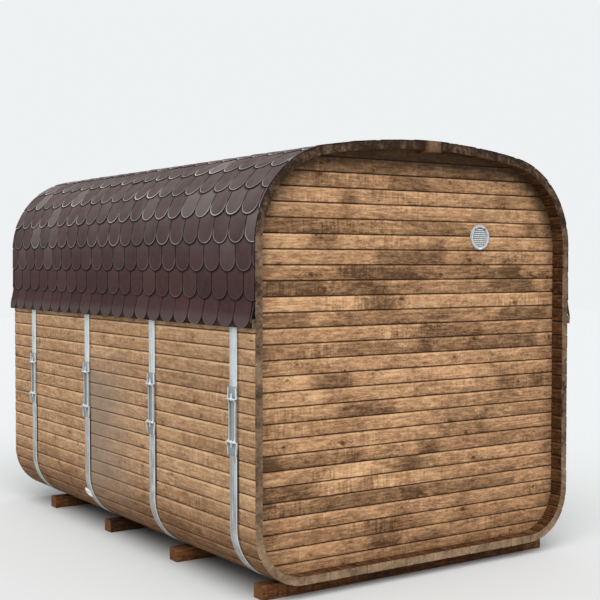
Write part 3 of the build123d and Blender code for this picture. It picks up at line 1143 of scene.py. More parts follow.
def use_group(tree, group, inputs):
    return add(tree, "ShaderNodeGroup", inputs, node_tree=group).outputs


def new_material(name):
    """An empty material with its tree and its Principled shader."""
    material = bpy.data.materials.new(name)
    material.use_nodes = True
    tree = material.node_tree
    return material, tree, tree.nodes["Principled BSDF"]


def object_place(tree):
    return add(tree, "ShaderNodeTexCoord").outputs["Object"]


def read(tree, name):
    """A number written on the mesh."""
    return add(tree, "ShaderNodeAttribute", attribute_name=name).outputs["Fac"]


def bump(tree, shader, height, strength, distance):
    """Send a height through a Bump node into the shader's normal."""
    node = add(tree, "ShaderNodeBump", {"Height": height, "Strength": strength, "Distance": distance})
    give(tree, shader, Normal=node.outputs["Normal"])


print("helpers for groups and materials ready")

# %% [markdown]
# Sawn spruce under a worn oil stain has many things to see: growth rings that bend round knots, long
# streaks, dark clouds of weather, ripples that the planer left across the board and finger joints.
# Each board is also darker towards its lower edge, with a painted highlight just below its upper
# edge. The coordinates are metres along the grain and across it, and each board shifts them by its
# own number, so that no figure runs on over a joint. Knots come first: the cells of a Voronoi
# texture, of which only some hold a knot.

# %% Knots
knot_spacing = (3.1, 9.0, 1.0)
knot_shape = (0.75, 1.0, 0.0)
board_shift = (3.71, 1.37, 0.61)


def board_place(group, given):
    """The grain coordinates, shifted by the number of the board."""
    shift = vector(group, *(times(group, given["Board"], step) for step in board_shift))
    return vector_maths(group, "ADD", given["Grain"], shift)


def knots(group, place):
    """Masks of the knots, and of the wider halo in which the rings bend round them."""
    scaled = stretched(group, place, knot_spacing)
    inputs = {"Vector": scaled, "Scale": 1.0, "Randomness": 0.9}
    cells = add(group, "ShaderNodeTexVoronoi", inputs, voronoi_dimensions="2D").outputs
    off = vector_maths(group, "SUBTRACT", scaled, cells["Position"])
    off = stretched(group, off, tuple(shape / step for shape, step in zip(knot_shape, knot_spacing)))
    ragged = centred(group, noise(group, place, (120, 120, 1), 2))
    reach = plus(group, size_of(group, off), times(group, ragged, 0.006))
    luck, size, _ = colour_parts(group, cells["Color"])
    present = ramp(group, luck, 0.38, 0.46)
    near = maths(group, "DIVIDE", reach, ramp(group, size, 0.0, 1.0, 0.004, 0.0135))
    knot = times(group, ramp(group, near, 1.45, 0.40), present)
    halo = times(group, ramp(group, near, 5.5, 0.8), present)
    return knot, halo


print("knots", knot_spacing[0], "cells for each metre of board")

# %% [markdown]
# The figure is a sum of noises, from smudges as wide as a thumb down to specks. Long streaks are a
# noise that is stretched fifty times more along the board than across it. The growth rings are a sine
# of a slow noise, and the halo of a knot pushes them aside.

# %% Figure of the wood
ring_count = 85.0


def growth_rings(group, place, flow, halo):
    """Fine lines along the board that bend round the knots."""
    bent = plus(group, halo, times(group, centred(group, noise(group, place, (45, 60, 1), 2)), 0.5))
    rings = plus(group, noise(group, flow, (0.9, 12, 1), 1, 0.4), times(group, bent, 0.16))
    rings = maths(group, "SINE", times(group, rings, ring_count))
    return times(group, rings, plus(group, times(group, halo, 0.05), 0.085))


def figure(group, place, halo):
    """All the small marks of the wood as one shade, and the relief that they leave."""
    wobble = centred(group, noise(group, place, (1.5, 5.5, 1), 2))
    flow = vector_maths(group, "ADD", place, vector(group, 0.0, times(group, wobble, 0.035)))
    rings = growth_rings(group, place, flow, halo)
    smudges = centred(group, noise(group, flow, (14, 52, 1), 4, 0.68))
    flecks = centred(group, noise(group, flow, (32, 70, 1), 3, 0.62, 0.8))
    streaks = centred(group, noise(group, flow, (3.0, 165, 1), 3, 0.6))
    specks = centred(group, noise(group, place, (95, 120, 1), 3, 0.7))
    speckled = ramp(group, noise(group, place, (2.2, 6, 1), 2), 0.40, 0.60, 0.35, 1.0)
    ripple = centred(group, noise(group, place, (62, 7, 1), 2, 0.5))
    rippled = ramp(group, noise(group, place, (1.7, 4.4, 3), 2), 0.48, 0.66)
    shade = total(group, (smudges, 1.15), (flecks, 0.85), (streaks, 0.60), (rings, 1.0),
                  (times(group, specks, speckled), 0.85), (times(group, ripple, rippled), 1.00))
    relief = total(group, (streaks, 0.8), (smudges, 0.5), (rings, 0.12), (specks, 0.4))
    return shade, relief


def finger_joints(group, given, along):
    """A shade for each glued length of a board, and a mask of the seams between them."""
    shifted = plus(group, along, times(group, given["Board"], board_shift[0]))
    inputs = {"W": maths(group, "DIVIDE", shifted, given["Length"]), "Scale": 1.0}
    lengths = add(group, "ShaderNodeTexVoronoi", inputs, voronoi_dimensions="1D").outputs
    seams = add(group, "ShaderNodeTexVoronoi", inputs, voronoi_dimensions="1D", feature="DISTANCE_TO_EDGE")
    seam = ramp(group, times(group, seams.outputs["Distance"], given["Length"]), 0.0016, 0.0004)
    return colour_parts(group, lengths["Color"])[0], seam


def board_edges(group, given, over):
    """Darker towards the lower edge of a board, with a painted highlight line below the upper one."""
    within = maths(group, "FRACT", maths(group, "DIVIDE", over, given["Width"]))
    lit = times(group, ramp(group, within, 0.80, 0.90), ramp(group, within, 0.985, 0.955))
    return total(group, (ramp(group, within, 0.17, 0.06), -0.12), (ramp(group, within, 0.60, 0.10), -0.07),
                 (lit, given["Lit"]))


print("figure with", ring_count, "as the ring count")

# %% [markdown]
# The group adds all of this up into one number, dark to light, and only then turns that number into a
# colour. That keeps the hues together as the real stain does: the dark is a grey brown, the middle a
# warm brown and the light a honey yellow.

# %% Group: sawn timber
timber_inputs = [
    ("Grain", "Vector", None),
    ("Board", "Float", 0.0),
    ("Tone", "Float", 0.5),
    ("Mark", "Float", 0.0),
    ("Light", "Color", (0.6, 0.36, 0.2, 1)),
    ("Middle", "Color", (0.33, 0.185, 0.1, 1)),
    ("Deep", "Color", (0.06, 0.035, 0.022, 1)),
    ("Grey", "Color", (0.2, 0.155, 0.12, 1)),
    ("Contrast", "Float", 1.0),
    ("Fineness", "Float", 1.0),
    ("Greyness", "Float", 0.5),
    ("Length", "Float", 0.9),
    ("Width", "Float", stave_pitch),
    ("Lit", "Float", 0.24),
]
timber_outputs = [("Color", "Color"), ("Height", "Float"), ("Roughness", "Float")]


def sawn_timber():
    group, given, result = new_group("Sawn timber", timber_inputs, timber_outputs)
    along, over, _ = parts(group, given["Grain"])
    place = board_place(group, given)
    knot, halo = knots(group, place)
    fine, relief = figure(group, place, halo)
    length_shade, seam = finger_joints(group, given, along)
    clouds = centred(group, noise(group, place, (3.0, 8.0, 1), 4, 0.62, 0.4))
    swing = total(group, (clouds, 0.95), (centred(group, length_shade), 0.14),
                  (centred(group, given["Tone"]), 0.18), (fine, given["Fineness"]))
    value = plus(group, 0.52, times(group, swing, given["Contrast"]), board_edges(group, given, over))
    value = minus(group, value, given["Mark"])
    value = minus(group, value, total(group, (knot, 0.30), (halo, 0.10), (seam, 0.16)))

    wood = mixed(group, ramp(group, value, 0.02, 0.50, kind="LINEAR"), given["Deep"], given["Middle"])
    wood = mixed(group, ramp(group, value, 0.50, 0.98, kind="LINEAR"), wood, given["Light"])
    weathered = ramp(group, noise(group, place, (1.7, 5.5, 9), 3), 0.46, 0.66)
    weathered = maths(group, "ADD", weathered, times(group, given["Mark"], 2.2), clamp=True)
    weathered = times(group, weathered, ramp(group, value, 0.75, 0.25), given["Greyness"])
    wood = mixed(group, weathered, wood, given["Grey"])
    height = total(group, (relief, 1.0), (seam, -0.3), (knot, 0.3))
    give(group, result, Color=wood, Height=height, Roughness=ramp(group, value, 0.1, 0.9, 0.78, 0.58))
    return group


timber_group = sawn_timber()
print("group", timber_group.name, len(timber_group.nodes), "nodes")

# %% [markdown]
# Two smaller groups follow. Rain splashes dirt and damp on the lowest boards, so every wood finish
# gets darker and redder towards the ground. And a dab of white filler sits by the foot of the third
# strap, half on the boards and half on the steel, so both finishes need the same mask.

# %% Groups: splash from the ground, and the white dab
dab_place = (-1.110, 0.440, 0.252)
dab_scale = (12.0, 19.0, 29.0)
dab_colour = (0.90, 0.92, 0.92)


def ground_splash():
    inputs = [("Place", "Vector", None), ("Color", "Color", (0.3, 0.2, 0.1, 1)), ("Amount", "Float", 1.0)]
    group, given, result = new_group("Ground splash", inputs, [("Color", "Color")])
    height = parts(group, given["Place"])[2]
    wander = centred(group, noise(group, given["Place"], (3.5, 3.5, 9), 4, 0.6))
    damp = ramp(group, plus(group, height, times(group, wander, 0.30)), 0.62, 0.10)
    wet = mixed(group, 1.0, given["Color"], (0.42, 0.34, 0.28), "MULTIPLY")
    give(group, result, Color=mixed(group, times(group, damp, given["Amount"]), given["Color"], wet))
    return group


def white_dab():
    group, given, result = new_group("White dab", [("Place", "Vector", None)], [("Mask", "Float")])
    ragged = centred(group, noise(group, given["Place"], 70, 3))
    reach = plus(group, distance_to(group, given["Place"], dab_place, dab_scale), times(group, ragged, 0.8))
    give(group, result, Mask=ramp(group, reach, 1.05, 0.85))
    return group


splash_group = ground_splash()
dab_group = white_dab()


def with_dab(tree, place, colour):
    """The white dab over a colour."""
    return mixed(tree, use_group(tree, dab_group, {"Place": place})["Mask"], colour, dab_colour)


print("groups", splash_group.name, "and", dab_group.name)

# %% [markdown]
# One function makes every wood finish. It reads the grain map and the numbers that the saw left on the
# faces, and lays the joints over the colour last. A finish may put a step of its own in between, for
# the weather on that side of the body.

# %% A wood finish
groove_colour = (0.032, 0.017, 0.010)
# Wood and steel under the roof are painted nearly black: the dark felt and dirt there, and the roof's shade.
covered_colour = (0.020, 0.014, 0.011)
timber_gloss = 0.05


def wood_finish(
    name, colours, contrast, greyness, length, splash=1.0, width=stave_pitch, fineness=1.0, lit=0.24,
    worn=None, groove=0.93, extra=None,
):
    """A sawn board finish from four colours: light, middle, deep and grey. extra is the weather step."""
    material, tree, shader = new_material(name)
    place = object_place(tree)
    inputs = {
        "Grain": add(tree, "ShaderNodeUVMap", uv_map="grain").outputs["UV"],
        "Board": read(tree, "board"),
        "Tone": read(tree, "tone"),
        "Mark": read(tree, "mark"),
        "Contrast": contrast,
        "Fineness": fineness,
        "Greyness": greyness,
        "Length": length,
        "Width": width,
        "Lit": lit,
    }
    for socket, colour in zip(("Light", "Middle", "Deep", "Grey"), colours):
        inputs[socket] = (*colour, 1)
    timber = use_group(tree, timber_group, inputs)
    colour = mixed(tree, times(tree, read(tree, "worn"), 0.45), timber["Color"], worn or colours[2])
    colour = use_group(tree, splash_group, {"Place": place, "Color": colour, "Amount": splash})["Color"]
    if extra:
        colour = extra(tree, place, colour)
    colour = mixed(tree, times(tree, read(tree, "groove"), groove), colour, groove_colour)
    give(tree, shader, Base_Color=colour, Roughness=timber["Roughness"])
    shader.inputs["Specular IOR Level"].default_value = timber_gloss
    bump(tree, shader, timber["Height"], 0.5, 0.0018)
    return material


print("wood finish ready")

# %% [markdown]
# The side has weathered in two ways: the boards between the second and the third strap have gone
# grey, and one board has a short crack near the rim. A painted shadow lies on the wood beside every
# strap, and the wood under the roof is painted nearly black, for the dark felt there and for the
# roof's shade. All of it is placed by distance: from a strap, from the ground, or from the crack.

# %% Weather on the side
strap_spacing = strap_places[1] - strap_places[0]
strap_half = 0.036
roof_edge_z = covering_boxes[-1][0].z
crack_place = (-half_width, -1.677, 1.3845)
crack_scale = (1.0, 1 / 0.026, 1 / 0.0042)


def past_strap(tree, along):
    """How far a place lies past the middle of the nearest strap, with a sign."""
    turns = maths(tree, "DIVIDE", minus(tree, along, strap_places[0]), strap_spacing)
    turns = maths(tree, "FRACT", plus(tree, turns, 0.5))
    return times(tree, centred(tree, turns), strap_spacing)


def side_weather_and_shade(tree, place, colour):
    """Grey boards, a painted shadow beside the straps, one crack, the part that the roof covers painted dark,
    and the dab.
    """
    _, along, height = parts(tree, place)
    wander = centred(tree, noise(tree, place, (5, 5, 22), 3))
    uneven = plus(tree, height, times(tree, wander, 0.3))
    from_strap = ramp(tree, plus(tree, along, times(tree, wander, 0.4)), -0.58, 0.36)
    edge = ramp(tree, along, strap_places[2] - 0.005, strap_places[2] - 0.02)
    low = ramp(tree, uneven, 0.10, 0.45)
    high = ramp(tree, uneven, 1.30, 0.96)
    colour = mixed(tree, times(tree, from_strap, edge, low, high, 0.85), colour, (0.245, 0.180, 0.130))

    # A painted shadow lies on the wood just past one edge of every strap, darkest at mid height.
    past = past_strap(tree, along)
    near = ramp(tree, past, -strap_half - 0.027, -strap_half - 0.016)
    deepest = times(tree, ramp(tree, height, 0.88, 0.76), ramp(tree, height, 0.30, 0.50))
    depth = total(tree, (1.0, 0.45), (deepest, 0.50))
    darkening = times(tree, near, ramp(tree, past, 0.005, 0.0), depth)
    colour = mixed(tree, darkening, colour, (0.020, 0.013, 0.010))

    crack = ramp(tree, distance_to(tree, place, crack_place, crack_scale), 1.1, 0.7, 0.0, 0.85)
    colour = mixed(tree, crack, colour, groove_colour)
    # Under the roof the wood is painted nearly black, for the dark felt there and the roof's shade.
    covered = ramp(tree, height, roof_edge_z + 0.030, roof_edge_z + 0.060)
    return with_dab(tree, place, mixed(tree, covered, colour, covered_colour))


print("straps", round(strap_spacing, 3), "apart")

# %% [markdown]
# Under the overhang the end wall is painted dark, as the overhang's shade with some old dirt. How
# dark follows from the distance to the staves above, so the painted shade keeps to the round outline
# of the body. A faint upright line runs down the upper planks.

# %% Weather on the end
line_place = 0.007


def end_line_and_shade(tree, place, colour):
    """Painted shade, with some dirt, under the roof's overhang, and a faint line down the upper planks."""
    across, _, height = parts(tree, place)
    off = maths(tree, "ABSOLUTE", minus(tree, across, line_place))
    line = times(tree, ramp(tree, off, 0.0045, 0.0015), ramp(tree, height, 1.52, 1.66), 0.38)
    colour = mixed(tree, line, colour, (0.10, 0.065, 0.042))

    # Painted shade, with some dirt: darker the closer a place lies to the staves above.
    from_crown = size_of(tree, vector(tree, across, minus(tree, height, crown_centre_z)))
    sideways = minus(tree, maths(tree, "ABSOLUTE", across), shoulder_centre_x)
    sideways = maths(tree, "MAXIMUM", sideways, 0.0)
    upwards = maths(tree, "MAXIMUM", minus(tree, height, shoulder_z), 0.0)
    from_shoulder = size_of(tree, vector(tree, sideways, upwards))
    under_crown = minus(tree, crown_radius - stave_depth, from_crown)
    under_shoulder = minus(tree, shoulder_radius - stave_depth, from_shoulder)
    below = maths(tree, "MINIMUM", under_crown, under_shoulder)
    ragged = centred(tree, noise(tree, place, (9, 9, 30), 4, 0.6))
    overhang_shade_and_dirt = ramp(tree, plus(tree, below, times(tree, ragged, 0.07)), 0.13, 0.0)
    overhang_shade_and_dirt = times(tree, overhang_shade_and_dirt, ramp(tree, height, 1.60, 2.25, 0.25, 0.85))
    return mixed(tree, overhang_shade_and_dirt, colour, (0.030, 0.017, 0.010))


print("line at", line_place)

# %% [markdown]
# The wood finishes differ in their colours and numbers. The side staves are an even tan, the end wall
# runs from honey to a dark grey brown, and the inside of the overhang, which no rain reaches, has kept
# its dark stain and is painted darker still for its shade. The door, the bearers and the battens are
# cut from whole timber, so their finger joints lie metres apart, and a board width of nine metres
# draws no board edge across them. The battens are painted nearly black for the shade under the
# lowest course of shingles.

# %% The wood finishes
no_board_edge = 9.0

side_wood = wood_finish(
    "Side stave wood",
    ((0.62, 0.40, 0.225), (0.348, 0.200, 0.104), (0.120, 0.062, 0.030), (0.24, 0.17, 0.115)),
    contrast=0.70, greyness=0.20, length=1.3, fineness=1.10, lit=0.27, worn=(0.34, 0.21, 0.12),
    groove=0.62, extra=side_weather_and_shade,
)
# The inside of the overhang: its dark stain, painted darker still for the shade there.
stain_and_shade_wood = wood_finish(
    "Sheltered stave wood",
    ((0.14, 0.066, 0.029), (0.060, 0.025, 0.0095), (0.018, 0.008, 0.003), (0.06, 0.04, 0.026)),
    contrast=1.1, greyness=0.2, length=1.3, splash=0.0,
)
end_wood = wood_finish(
    "End wall wood",
    ((0.64, 0.385, 0.205), (0.325, 0.178, 0.090), (0.068, 0.032, 0.014), (0.140, 0.084, 0.047)),
    contrast=0.88, greyness=0.30, length=1.0, splash=0.40, width=end_pitch, lit=0.17, groove=0.84,
    extra=end_line_and_shade,
)
door_wood = wood_finish(
    "Door wood",
    ((0.58, 0.36, 0.20), (0.32, 0.18, 0.095), (0.075, 0.042, 0.026), (0.18, 0.135, 0.10)),
    contrast=0.9, greyness=0.3, length=4.0, splash=0.4, width=no_board_edge,
)
bearer_wood = wood_finish(
    "Bearer wood",
    ((0.21, 0.090, 0.038), (0.088, 0.034, 0.013), (0.018, 0.007, 0.003), (0.06, 0.042, 0.033)),
    contrast=1.0, greyness=0.3, length=5.0, splash=0.0, width=no_board_edge,
)
# The battens are painted nearly black for the shade they stand in under the lowest course.
batten_wood = wood_finish(
    "Batten wood",
    ((0.11, 0.066, 0.040), (0.044, 0.026, 0.017), (0.012, 0.008, 0.006), (0.06, 0.045, 0.036)),
    contrast=1.0, greyness=0.4, length=3.0, splash=0.0, width=no_board_edge,
)
print("wood finishes ready")

# %% [markdown]
# The ends of the staves drink the most stain and water, so the rim is a dark grey brown with fine
# pores, nearly black under the roof and paler towards the bottom, where it has been knocked and
# dried. End grain has no long streaks: close noises stand for the pores and the damp, and arcs for
# the growth rings that each board shows on its end.

# %% End grain
def end_grain(name, dark, pale, pale_heights=(0.0, 1.0), ringed=0.18):
    """A finish for sawn ends, from dark to pale. The pale foot fades between pale_heights."""
    material, tree, shader = new_material(name)
    place = object_place(tree)
    offset = times(tree, read(tree, "board"), 0.37)
    ring_inputs = {
        "Vector": vector_maths(tree, "ADD", place, vector(tree, offset, 0.0, offset)),
        "Scale": 38.0,
        "Distortion": 7.0,
        "Detail": 2.0,
        "Detail Scale": 1.4,
    }
    rings = add(tree, "ShaderNodeTexWave", ring_inputs, wave_type="RINGS", rings_direction="Y").outputs["Fac"]
    pores = noise(tree, place, 420, 2, 0.6)
    damp = noise(tree, place, 9, 5, 0.65)
    smears = noise(tree, place, 45, 4, 0.65)
    weights = ((damp, 1.5), (smears, 1.0), (pores, 0.35), (rings, ringed), (read(tree, "tone"), 0.10))
    share = total(tree, *((centred(tree, value), weight) for value, weight in weights))
    height = parts(tree, place)[2]
    share = plus(tree, share, ramp(tree, height, *pale_heights, 0.42, 0.18))
    share = minus(tree, share, ramp(tree, height, 1.75, 2.2, 0.0, 0.30))
    colour = mixed(tree, ramp(tree, share, -0.15, 0.95, kind="LINEAR"), dark, pale)
    colour = mixed(tree, times(tree, read(tree, "groove"), 0.8), colour, groove_colour)
    give(tree, shader, Base_Color=colour)
    shader.inputs["Roughness"].default_value = 0.85
    shader.inputs["Specular IOR Level"].default_value = timber_gloss
    bump(tree, shader, total(tree, (pores, 0.6), (smears, 0.8)), 0.5, 0.0016)
    return material


stave_ends = end_grain("Stave end grain", (0.028, 0.016, 0.010), (0.36, 0.235, 0.145), (0.1, 0.9))
beam_ends = end_grain("Beam end grain", (0.085, 0.050, 0.030), (0.42, 0.27, 0.165), (0.1, 0.9), 0.7)
bearer_ends = end_grain("Bearer end grain", (0.045, 0.018, 0.008), (0.24, 0.105, 0.045), ringed=0.4)
print("end grain ready")

# %% [markdown]
# Bitumen shingles are brown mineral granules on a black sheet. Three things draw the pattern of the
# roof: the cut edge of each tab, where the black sheet shows, a pale worn line just inside the tip on
# the upper courses, where the weather is hardest, and a painted shadow, with some dirt, in the slots
# and round the tips of the course above. All three follow the outline of the tab, so they are worked
# out from the tab's own flat map.

# %% Lines along the outline of a tab
def ellipse(tree, across, up):
    """Distance of a place from the middle of a tab's round end, as a share of its size."""
    wide = maths(tree, "DIVIDE", across, tab_half)
    tall = maths(tree, "DIVIDE", maths(tree, "MINIMUM", up, 0.0), tab_round)
    return maths(tree, "SQRT", plus(tree, times(tree, wide, wide), times(tree, tall, tall)))


def worn_tips(tree, place, border, up, tone, high):
    """The pale line inside the tip of a tab, stronger high on the roof and on some tabs."""
    line = times(tree, ramp(tree, border, 0.0085, 0.0030), ramp(tree, border, 0.0002, 0.0018))
    tip = ramp(tree, up, 0.100, 0.02)
    worn = times(tree, ramp(tree, tone, 0.20, 0.80, 0.60, 1.0), total(tree, (high, 0.90), (1.0, 0.10)))
    patchy = ramp(tree, noise(tree, place, 3, 3), 0.36, 0.62, 0.35, 1.0)
    return times(tree, line, tip, worn, patchy)


def tip_shadow_and_dirt(tree, across, up, ragged):
    """Painted shadow, with some dirt, in the slots and round the tips of the course above."""
    beside = minus(tree, maths(tree, "ABSOLUTE", across), tab_pitch / 2)
    above = ellipse(tree, beside, minus(tree, up, tab_exposure + tab_round))
    return ramp(tree, plus(tree, above, times(tree, ragged, 0.08)), 1.30, 1.04)


print("tab outline", tab_half, "by", tab_round)

# %% [markdown]
# The colour of a tab is built up in layers over two browns: mottle, single granules, a grey high on
# the roof that is partly sun-faded granules and partly a painted reflection of the sky, a paler grey
# on the lowest stretch, a few faded tabs, and at last the three lines.

# %% Shingle finish
def shingle_finish():
    material, tree, shader = new_material("Bitumen shingle")
    place = object_place(tree)
    tone = read(tree, "tone")
    across, up, _ = parts(tree, add(tree, "ShaderNodeUVMap", uv_map="tab").outputs["UV"])
    height = parts(tree, place)[2]
    high = ramp(tree, height, 1.62, 2.30)
    ragged = centred(tree, noise(tree, place, 75, 4, 0.65))
    inside = minus(tree, 1.0, ellipse(tree, across, minus(tree, up, tab_round)))
    border = total(tree, (inside, tab_round), (ragged, 0.004))
    edge = maths(tree, "MAXIMUM", ramp(tree, border, 0.0018, 0.0006), read(tree, "cut"))

    granules = noise(tree, place, 520, 2, 0.7)
    mottle = noise(tree, place, 26, 4, 0.65)
    blotch = noise(tree, place, 5, 4, 0.6)
    # High on the roof a grey is laid over the brown: partly sun-faded granules, partly a painted reflection
    # of the sky.
    grey_and_sky_sheen = times(tree, high, ramp(tree, blotch, 0.35, 0.70, 0.40, 0.80))
    kicked = ramp(tree, height, joint_z + 0.20, joint_z + 0.14)
    faded = times(tree, ramp(tree, tone, 0.80, 0.97), high, 0.45)
    colour = mixed(tree, tone, (0.034, 0.0155, 0.0135), (0.056, 0.0280, 0.0250))
    layers = (
        (ramp(tree, mottle, 0.40, 0.72, 0.0, 0.40), (0.070, 0.040, 0.036)),
        (ramp(tree, granules, 0.45, 0.75, 0.0, 0.28), (0.120, 0.080, 0.072)),
        (grey_and_sky_sheen, (0.118, 0.094, 0.091)),
        (times(tree, kicked, 0.35), (0.125, 0.098, 0.094)),
        (faded, (0.21, 0.185, 0.18)),
        (worn_tips(tree, place, border, up, tone, high), (0.64, 0.61, 0.60)),
        # Painted shadow, with some dirt, in the slots and round the tips above.
        (times(tree, tip_shadow_and_dirt(tree, across, up, ragged), 0.85), (0.013, 0.007, 0.006)),
        (times(tree, edge, 0.85), (0.014, 0.009, 0.008)),
    )
    for share, layer in layers:
        colour = mixed(tree, share, colour, layer)
    give(tree, shader, Base_Color=colour)
    shader.inputs["Roughness"].default_value = 0.72
    shader.inputs["Specular IOR Level"].default_value = 0.06
    bump(tree, shader, total(tree, (granules, 0.7), (mottle, 0.6)), 0.45, 0.0010)
    return material


shingle = shingle_finish()
print("shingle ready")

# %% [markdown]
# The straps are hot-dip galvanised: a dull, pale blue-grey metal whose zinc froze in spangles a few
# millimetres across. A Voronoi texture gives each spangle its own roughness and shade. Dirt runs down
# the bands, so they are greyer low down. The hollows of the tensioners are painted dark for their
# shade, and the flanges and one edge of each band are painted pale, partly as wear and partly as
# highlights. The hinges are plain zinc-plated steel.

# %% Metal finishes
tensioner_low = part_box("strap_1_lower_band")[1].z - 0.075
tensioner_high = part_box("strap_1_upper_band")[0].z + 0.066
spangle_scale = 150.0


def strap_shading_and_dab(tree, place, colour):
    """Painted shade in the hollows, painted highlights on the flanges and a band edge, the covered part, and
    the dab.
    """
    side, along, height = parts(tree, place)
    past = past_strap(tree, along)
    stand_off = minus(tree, maths(tree, "ABSOLUTE", side), half_width)
    zone = times(tree, ramp(tree, height, tensioner_low - 0.002, tensioner_low + 0.002),
                 ramp(tree, height, tensioner_high + 0.002, tensioner_high - 0.002))
    edge_highlight = ramp(tree, past, -strap_half + 0.010, -strap_half + 0.004, 0.0, 0.55)
    # One side of the band is darker, and a painted highlight runs along its other edge. In the tensioners the
    # hollows near the wall get painted shade, and the flanges that stand out are pale, partly worn and partly
    # a painted highlight. Under the roof the steel is painted nearly black.
    layers = (
        (ramp(tree, past, -0.012, strap_half, 0.0, 0.35), (0.30, 0.33, 0.34)),
        (edge_highlight, (0.84, 0.88, 0.88)),
        (times(tree, zone, ramp(tree, stand_off, 0.0095, 0.0055), 0.62), (0.13, 0.15, 0.155)),
        (times(tree, zone, ramp(tree, stand_off, 0.0100, 0.0125), 0.45), (0.86, 0.88, 0.88)),
        (ramp(tree, height, roof_edge_z + 0.020, roof_edge_z + 0.040), covered_colour),
    )
    for share, layer in layers:
        colour = mixed(tree, share, colour, layer)
    return with_dab(tree, place, colour)


def galvanised(name, colour, rough, metal, extra=None):
    """Zinc with spangles, darkened low down by dirt."""
    material, tree, shader = new_material(name)
    place = object_place(tree)
    spangle = add(tree, "ShaderNodeTexVoronoi", {"Vector": place, "Scale": spangle_scale})
    shade = colour_parts(tree, spangle.outputs["Color"])[0]
    runs = noise(tree, place, (60, 60, 5), 4, 0.6)
    dust = noise(tree, place, 14, 4, 0.6)
    base = mixed(tree, shade, tuple(0.80 * c for c in colour), colour)
    low_down = ramp(tree, parts(tree, place)[2], 1.15, 0.50)
    darkening = total(tree, (centred(tree, dust), 1.4), (centred(tree, runs), 2.0), (low_down, 0.60))
    base = mixed(tree, ramp(tree, darkening, -0.10, 0.85, 0.0, 0.90), base, (0.23, 0.205, 0.175))
    if extra:
        base = extra(tree, place, base)
    give(tree, shader, Base_Color=base, Roughness=plus(tree, times(tree, shade, 0.16), rough))
    shader.inputs["Metallic"].default_value = metal
    bump(tree, shader, total(tree, (shade, 0.4), (runs, 0.6)), 0.10, 0.0005)
    return material


strap_steel = galvanised("Galvanised steel", (0.61, 0.66, 0.67), 0.42, 0.30, strap_shading_and_dab)
hinge_steel = galvanised("Hinge steel", (0.55, 0.56, 0.57), 0.35, 0.9)
print("metal finishes ready")

# %% [markdown]
# The vent is white enamel that has gone grey with dust. Its outer rim is painted darker, for dirt and
# for the shade round it, two small clips near the top are dark, one spot below is pale, and the pipe
# behind the slats is painted black for the shade inside it.

# %% Enamel of the vent
clip_place = (0.040, 0.049)
pale_spot_drop = 0.064


def enamel():
    material, tree, shader = new_material("Vent enamel")
    place = object_place(tree)
    across, depth, height = parts(tree, place)
    low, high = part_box("vent_grille")
    middle = (low + high) / 2
    sideways = minus(tree, across, middle.x)
    upwards = minus(tree, height, middle.z)
    reach = size_of(tree, vector(tree, sideways, upwards))
    beside = minus(tree, maths(tree, "ABSOLUTE", sideways), clip_place[0])
    from_clip = size_of(tree, vector(tree, beside, minus(tree, upwards, clip_place[1])))
    from_pale_spot = size_of(tree, vector(tree, times(tree, sideways, 0.7), plus(tree, upwards, pale_spot_drop)))
    dust = noise(tree, place, 70, 4, 0.6)
    colour = mixed(tree, ramp(tree, dust, 0.4, 0.75), (0.50, 0.51, 0.515), (0.36, 0.36, 0.36))
    layers = (
        # The outer rim is painted darker, for dirt and for the shade round it.
        (ramp(tree, reach, 0.062, 0.074, 0.0, 0.55), (0.20, 0.185, 0.17)),
        (ramp(tree, from_clip, 0.0065, 0.0045, 0.0, 0.85), (0.05, 0.05, 0.055)),
        (ramp(tree, from_pale_spot, 0.0090, 0.0050, 0.0, 0.9), (0.80, 0.81, 0.81)),
        # The depth behind the slats is painted black for the shade inside the pipe.
        (ramp(tree, depth, low.y + 0.010, low.y + 0.022), (0.012, 0.011, 0.011)),
    )
    for share, layer in layers:
        colour = mixed(tree, share, colour, layer)
    give(tree, shader, Base_Color=colour)
    shader.inputs["Roughness"].default_value = 0.4
    bump(tree, shader, dust, 0.1, 0.0005)
    return material


vent_enamel = enamel()
print("enamel ready")

# %% [markdown]
# Now every piece gets its finish and rides on the frame, and the frame piece that it stands for is
# hidden. A stave piece has three finishes, chosen by where each face looks: outwards, along the body,
# or inwards.

# %% Dress the pieces
def face_finish(obj, chooser):
    """Give each face the material slot that chooser returns for it."""
    for face in obj.data.polygons:
        face.material_index = chooser(face)


def looks_along(axis):
    return lambda face: 1 if abs(face.normal[axis]) > 0.9 else 0


def stave_face(face):
    """0 for a face that looks outwards, 1 for an end and 2 for one that looks into the room."""
    if abs(face.normal.y) > 0.9:
        return 1
    middle_z = (foot_z + shoulder_z) / 2
    x, z = face.center.x, face.center.z
    level = min(max(z, foot_z), shoulder_z) if abs(x) > foot_centre_x else middle_z
    outward = Vector((x if abs(x) > foot_centre_x else 0.0, 0.0, z - level if abs(z - level) > 1e-6 else 0.0))
    return 2 if face.normal.dot(outward) < -0.05 * outward.length else 0


def dress(obj, node, slot, *materials):
    """Materials, smooth shading, ride, and the frame piece hidden. slot is not used."""
    obj.data.materials.clear()
    for material in materials:
        obj.data.materials.append(material)
    pick(obj)
    bpy.ops.object.shade_smooth_by_angle(angle=radians(28))
    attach(obj, "root")
    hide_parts(node)


